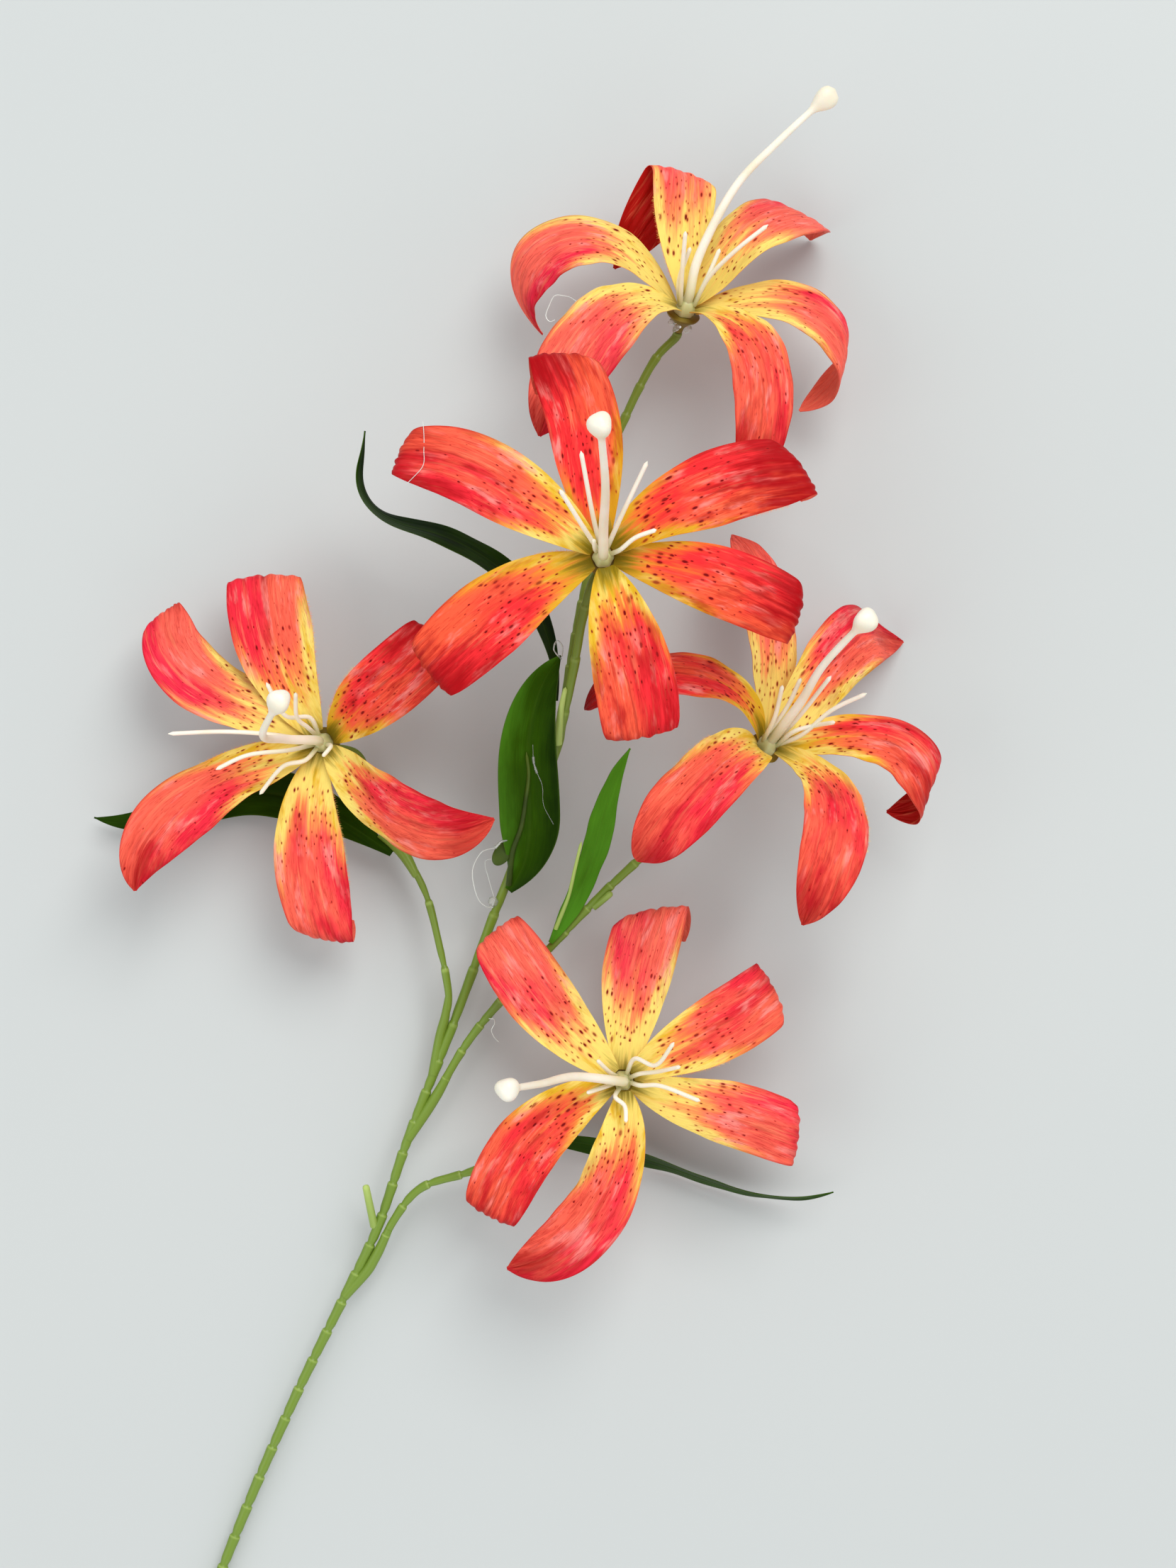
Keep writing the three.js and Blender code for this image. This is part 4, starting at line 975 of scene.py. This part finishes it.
def grown(name, path, attributes, tree, values):
    # Evaluates a Geometry Nodes tree on a line in millimetres and keeps the plain result
    mesh = bpy.data.meshes.new(name + "_line")
    mesh.from_pydata((path * millimetre).tolist(), [(i, i + 1) for i in range(len(path) - 1)], [])
    for label, (kind, shares) in attributes.items():
        addAttribute(mesh, label, kind, shares)
    host = bpy.data.objects.new(name, mesh)
    scene.collection.objects.link(host)
    modifier = host.modifiers.new("grow", "NODES")
    modifier.node_group = tree
    sockets = {item.name: item.identifier for item in tree.interface.items_tree if item.in_out == "INPUT"}
    for label, value in values.items():
        modifier[sockets[label]] = value
    bpy.context.view_layer.update()
    evaluated = host.evaluated_get(bpy.context.evaluated_depsgraph_get())
    plain = bpy.data.meshes.new_from_object(evaluated)
    host.modifiers.remove(modifier)
    host.data = plain
    plain.name = name
    return host


def makeFork(name, trunk, branch, wide, slim):
    # The moulded web that swallows the foot of a side stem and joins it to the main one
    joint = int(np.argmin(np.linalg.norm(trunk - branch[0], axis=1)))
    ahead, inward = unit(branch[1] - branch[0]), unit(trunk[joint] - branch[0])
    route = [trunk[max(joint - 11, 0)], branch[0] - ahead * 3 + inward * 1.1, branch[1] + inward * 0.6,
             branch[4] + inward * 0.15, branch[10]]
    path, _ = smoothPath(route, 40)
    shares, radii = [0, 0.45, 0.7, 1], [wide * 0.94, slim + 0.55, slim + 0.4, slim * 0.97]
    radius = np.interp(np.linspace(0, 1, 40), shares, radii)
    settle(solidObject(name, [loftBar(path, radius, 18)], stemMaterial))


def makePeg(name, route, wide, slim, paleness, material):
    path, reach, radius = barPath(route, 28, wide, slim)
    sides = 14
    bar = loftBar(path, radius * np.maximum(endRounding(reach[-1] - reach, slim), 0.15), sides)
    foot, tip = paleness
    pale = np.repeat(foot + (tip - foot) * (reach / reach[-1]) ** 2, sides)
    settle(solidObject(name, [bar], material, np.append(pale, paleness), "collar"))


nestedStem = stemTree()
stemPaths = {}
for key, stem in stems.items():
    head = heads[stem["head"]]
    end = cupForm["top"] - cupForm["height"] - stemForm["cupGap"]
    beforeEnd = end - stem.get("approach", stemForm["approach"])
    route = [*stem["route"], onAxis(head, beforeEnd), onAxis(head, end)]
    path, total = smoothPath(route, int(smoothPath(route, 10)[1] / stemForm["pathStep"]))
    reach = np.linspace(0, total, len(path))
    evenTo = stem.get("evenTo", total)
    joints = np.minimum(reach, evenTo) + np.maximum(reach - evenTo, 0) * stemForm["upperShare"]
    segments = max(round(joints[-1] / stem.get("spacing", stemForm["spacing"])), 1)
    attributes = {"distance": ("FLOAT", joints * millimetre), "share": ("FLOAT", reach / total)}
    bar = grown(f"{key}_nested", path, attributes, nestedStem, {
        "Segment Length": joints[-1] / segments * millimetre,
        "Low Radius": stem["low"] * millimetre,
        "High Radius": stem["high"] * millimetre,
        "Collar Flare": stemForm["flare"] * millimetre,
        "Joint Notch": stem.get("notch", stemForm["notch"]) * millimetre,
        "Step": stemForm["step"] * millimetre,
        "Sides": stemForm["sides"],
        "Material": stemMaterial,
    })
    settle(bar, key)
    stemPaths[key] = path
    if key != "stem_main":
        makeFork(f"{key}_fork", stemPaths["stem_main"], path, stems["stem_main"]["low"], stem["low"])
    for pegNumber, peg in enumerate(stem.get("pegs", [])):
        makePeg(f"{key}_peg{pegNumber + 1}", *peg, stemMaterial)


def lying(grid, places, lift):
    # Sets flat places on a blade's surface
    flat = grid.reshape(-1, 3)
    heights = [flat[np.argmin((flat[:, 0] - x) ** 2 + (flat[:, 1] - y) ** 2)][2] for x, y in places]
    return [(x, y, height + lift) for (x, y), height in zip(places, heights)]


leafPegs = {
    "leaf_a": ([(3.1, 69.7), (4.9, 83.1), (8.4, 92.8), (10.3, 103.8), (11.4, 112.8), (10.6, 121.2)],
               1.2, 0.6, (0.0, 0.0), tabMaterial),
    "leaf_d": ([(21.5, 53), (26.5, 66), (29, 76.5), (31.5, 87)], 0.85, 0.6, (0.5, 0.9), stemMaterial),
}
for key, (places, *peg) in leafPegs.items():
    makePeg(f"{key}_peg", lying(leafGrids[key], places, 0.6), *peg)
print("stems made")


# ---- Glue: beads and traces on leaves and cups, and the hair-thin threads it pulled
def makeGlue(name, route, wide, slim):
    path, reach, radius = barPath(route, 36, wide, slim)
    wave = 1 + 0.18 * np.sin(reach * 1.3) + 0.1 * np.sin(reach * 2.9)
    rounding = endRounding(reach[-1] - reach, slim) * endRounding(reach, wide)
    bar = loftBar(path, radius * wave * np.maximum(rounding, 0.15), 12)
    settle(solidObject(name, [bar], glueMaterial))


def makeTab(name, centre, halfWide, halfLong, turn):
    # A rounded plastic tab lying flat
    angle = math.radians(turn)
    c, s = math.cos(angle), math.sin(angle)
    axes = np.array([(c, s, 0), (-s, c, 0), (0, 0, 1)])
    profile = [(0, -0.5), (0.8, -0.5), (0.96, -0.25), (1, 0), (0.96, 0.3), (0.8, 0.5), (0.5, 0.62), (0, 0.66)]
    points, faces = turnProfile(np.zeros(3), np.identity(3), profile, 36)
    points = points * (halfWide, halfLong, 1) @ axes + centre
    settle(solidObject(name, [(points, faces)], tabMaterial))


def besideStem(y, step):
    path = stemPaths["stem_main"]
    return path[np.argmin(np.abs(path[:, 1] - y))] + step


tabPlace = np.array(lying(leafGrids["leaf_a"], [(0.8, 82.1)], -1.0)[0])
makeTab("leaf_a_tab", tabPlace, halfWide=3.3, halfLong=5.4, turn=-35)
leafGlue = {
    "trace": ([(13, 124.7), (13.6, 116), (16.5, 108.5), (17, 101), (21, 93)], 0.3, 0.12),
    "smear": ([(13.2, 119.5), (13.4, 117), (14.6, 113)], 0.3, 0.45),
    "rim": ([(-2.2, 84.2), (0.6, 86.8), (3.0, 87.6)], -0.3, 0.55),
}
for key, (places, lift, size) in leafGlue.items():
    makeGlue(f"leaf_a_glue_{key}", lying(leafGrids["leaf_a"], places, lift), size, size)
beadRoute = [besideStem(64.2, (-2.2, 0, 0.6)), besideStem(60.2, (-2.2, 0, 0.6))]
makeGlue("stem_main_glue_bead", beadRoute, wide=2.0, slim=1.9)
leafTip = leafGrids["leaf_a"][-1, 14]
tipLoop = [(0.3, -1.5, 0.4), (-2.6, 2.2, 0.9), (-1.4, 5.6, 1.6), (0.6, 3.4, 1.2), (0.4, -0.6, 0.5)]
makeGlue("leaf_a_glue_tip", leafTip + tipLoop, wide=0.3, slim=0.25)
cupLumps = {
    "flower1": [[(-3.2, -1.5, -4), (-4.6, -0.5, -6.5)], [(-1.5, -3.6, -4), (-2.8, -3.2, -8)],
                [(2.8, -2.6, -4.5), (2.6, -1.8, -8.5)]],
    "flower4": [[(-3, -2.5, -4), (-2.2, -2, -8)]],
    "flower5": [[(3.2, -2.4, -4), (2.2, -1.6, -7.5)]],
}
for name, lumps in cupLumps.items():
    for lumpNumber, lump in enumerate(lumps):
        route = onAxis(heads[name], 0) + lump @ headAxes(heads[name])
        makeGlue(f"{name}_glue{lumpNumber + 1}", route, wide=1.4, slim=0.9)

petalPlaces = [(-25.4, 239.5), (-25, 234), (-25, 229), (-25.2, 223.5), (-29.1, 219), (-31.5, 216.8)]
threads = {
    "loop": (0.2, [tabPlace + (-3.0, 2.1, 0.4), (-7.7, 82.2, 22), (-10.9, 75.9, 24), (-10.5, 69.5, 24),
                   (-8.3, 63.2, 22), (-5.2, 60.7, 19), besideStem(59.8, (-1.4, 0, 1.0))]),
    "inner": (0.13, [tabPlace + (-2.4, -2.0, 0.2), (-6.2, 78.5, 21), (-4.6, 71, 20),
                     besideStem(64, (-2.6, 0, 1.6))]),
    "fork": (0.17, [(-4.9, 17.4, 21.4), (-2.6, 17.2, 24), (-2.4, 15.6, 25), (-3.6, 13.2, 24),
                    (-2.6, 10.2, 22.5), (-0.9, 8.2, 21)]),
    "head": (0.19, [*lying(petalGrids["flower1_lower_left"], [(30.5, 289.5)], 0.2), (25.2, 295.3, 46),
                    (21.4, 295.6, 45), (19.2, 292, 44), (17.9, 287.7, 44), (19.5, 285.8, 44),
                    (21.4, 286.4, 45)]),
    "petal": (0.12, lying(petalGrids["flower2_upper_left"], petalPlaces, 0.5)),
}
for key, (radius, route) in threads.items():
    bar = loftBar(smoothPath(route, 60)[0], np.full(60, radius), 6)
    settle(solidObject(f"glue_thread_{key}", [bar], threadMaterial))


# ---- Frayed cloth: fibres standing out of cut petal edges
def frayTree():
    # Geometry Nodes: three-sided fibres along a line, each turned and stretched by chance
    tree, given, result = newGroup("frayedEdge", "GeometryNodeTree", [
        ("Geometry", "Geometry", None), ("Spacing", "Float", 0.00025), ("Fibre Length", "Float", 0.0016),
        ("Fibre Radius", "Float", 0.00006), ("Spread", "Float", 0.8), ("Seed", "Int", 5),
        ("Material", "Material", None),
    ], [("Geometry", "Geometry")])
    line = wire(tree, "GeometryNodeMeshToCurve", {"Mesh": given["Geometry"]})
    line = wire(tree, "GeometryNodeResampleCurve", {"Curve": line, "Length": given["Spacing"]}, mode="LENGTH")
    points = wire(tree, "GeometryNodeCurveToPoints", {"Curve": line}, "Points", mode="EVALUATED")
    outward = wire(tree, "GeometryNodeInputNamedAttribute", {"Name": "outward"}, data_type="FLOAT_VECTOR")
    wild = wire(tree, "FunctionNodeRandomValue", {
        "Min": (-1.0, -1.0, -1.0), "Max": (1.0, 1.0, 1.0), "Seed": given["Seed"],
    }, "Value", data_type="FLOAT_VECTOR")
    wild = wire(tree, "ShaderNodeVectorMath", {0: wild, "Scale": given["Spread"]}, operation="SCALE")
    heading = wire(tree, "ShaderNodeVectorMath", {0: outward, 1: wild}, operation="ADD")
    inputs = {2: 0.3, 3: 1.0, "Seed": given["Seed"]}  # sockets 2 and 3 are the float Min and Max
    stretch = wire(tree, "FunctionNodeRandomValue", inputs, 1, data_type="FLOAT")
    fibres = wire(tree, "GeometryNodeInstanceOnPoints", {
        "Points": points,
        "Instance": wire(tree, "GeometryNodeMeshCone", {
            "Vertices": 3, "Radius Top": 0.0, "Radius Bottom": given["Fibre Radius"],
            "Depth": given["Fibre Length"],
        }, "Mesh"),
        "Rotation": wire(tree, "FunctionNodeAlignRotationToVector", {"Vector": heading}, axis="Z"),
        "Scale": wire(tree, "ShaderNodeCombineXYZ", {"X": 1.0, "Y": 1.0, "Z": stretch}),
    })
    closeTree(fibres, given, result)
    return tree


# Which margin (1 the last column, -1 the first), and from where to where along the petal
frayed = {
    "flower2_lower_left": (-1, 0.04, 0.2), "flower3_upper_right": (1, 0.05, 0.4),
    "flower3_lower_left": (-1, 0.1, 0.45), "flower3_top": (-1, 0.1, 0.6), "flower3_bottom": (1, 0.1, 0.6),
    "flower4_bottom": (1, 0.35, 0.62), "flower4_lower_left": (-1, 0.3, 0.55), "flower1_top": (1, 0.08, 0.4),
    "flower5_upper_right": (-1, 0.1, 0.4), "flower2_upper_right": (-1, 0.6, 0.75),
}
frayForm = {"Spacing": 0.22, "Fibre Length": 1.5, "Fibre Radius": 0.06}
frayedEdge = frayTree()
for number, (key, (side, fromShare, toShare)) in enumerate(frayed.items()):
    sheet = petalGrids[key][:, ::-side]
    rows = slice(int(fromShare * (len(sheet) - 1)), int(toShare * (len(sheet) - 1)))
    outward = unit(sheet[rows, 0] - sheet[rows, 1])
    fray = grown(f"{key}_fibres", sheet[rows, 0], {"outward": ("FLOAT_VECTOR", outward)}, frayedEdge, {
        **{label: size * millimetre for label, size in frayForm.items()},
        "Spread": 0.8, "Seed": 5 + number, "Material": fibreMaterial,
    })
    settle(fray)
print("glue and fibres made")

# ---- Floor and light
floorLook = {"Roughness": 0.75, "Specular IOR Level": 0.2}
floorMaterial, floorTree, floorShader = newMaterial("paleFloor", floorLook)
floorCloud = noise(wire(floorTree, "ShaderNodeTexCoord", None, "Object"), 3.0, 2.0)
floorShade = ramp(floorCloud, 0.3, 0.7, 0.0, 0.25)
feed(floorShader["Base Color"], mix(floorShade, paint(196, 199, 197), paint(190, 194, 193)))
floorReach, floorTop = 5, -0.0005
floorCorners = [(x * floorReach, y * floorReach, floorTop) for x, y in ((-1, -1), (1, -1), (1, 1), (-1, 1))]
floorMesh = bpy.data.meshes.new("floor")
floorMesh.from_pydata(floorCorners, [], [(0, 1, 2, 3)])
floorMesh.materials.append(floorMaterial)
floor = bpy.data.objects.new("floor", floorMesh)
scene.collection.objects.link(floor)

lights = {
    "overhead": {"spot": (1.1, 2.1, 3.0), "aim": (0.0, 0.05, 0.0), "size": 2.4, "power": 97},
    "side": {"spot": (-2.9, -0.9, 2.65), "aim": (0.0, 0.0, 0.0), "size": 3.3, "power": 48},
    "fill": {"spot": (1.1, -2.8, 1.55), "aim": (0.0, 0.05, 0.0), "size": 2.8, "power": 24},
}
for key, lamp in lights.items():
    lampData = bpy.data.lights.new(key, "AREA")
    lampData.size = lamp["size"]
    lampData.energy = lamp["power"]
    lampObject = bpy.data.objects.new(key, lampData)
    lampObject.location = lamp["spot"]
    lampObject.visible_camera = False
    facing = Vector(lamp["aim"]) - Vector(lamp["spot"])
    lampObject.rotation_euler = facing.to_track_quat("-Z", "Y").to_euler()
    scene.collection.objects.link(lampObject)
world = bpy.data.worlds.new("studio")
world.use_nodes = True
sky = world.node_tree.nodes["Background"].inputs
sky["Color"].default_value = (0.93, 0.97, 1.0, 1.0)
sky["Strength"].default_value = 0.6
scene.world = world
scene.view_settings.view_transform = "Standard"
print("floor and light made")
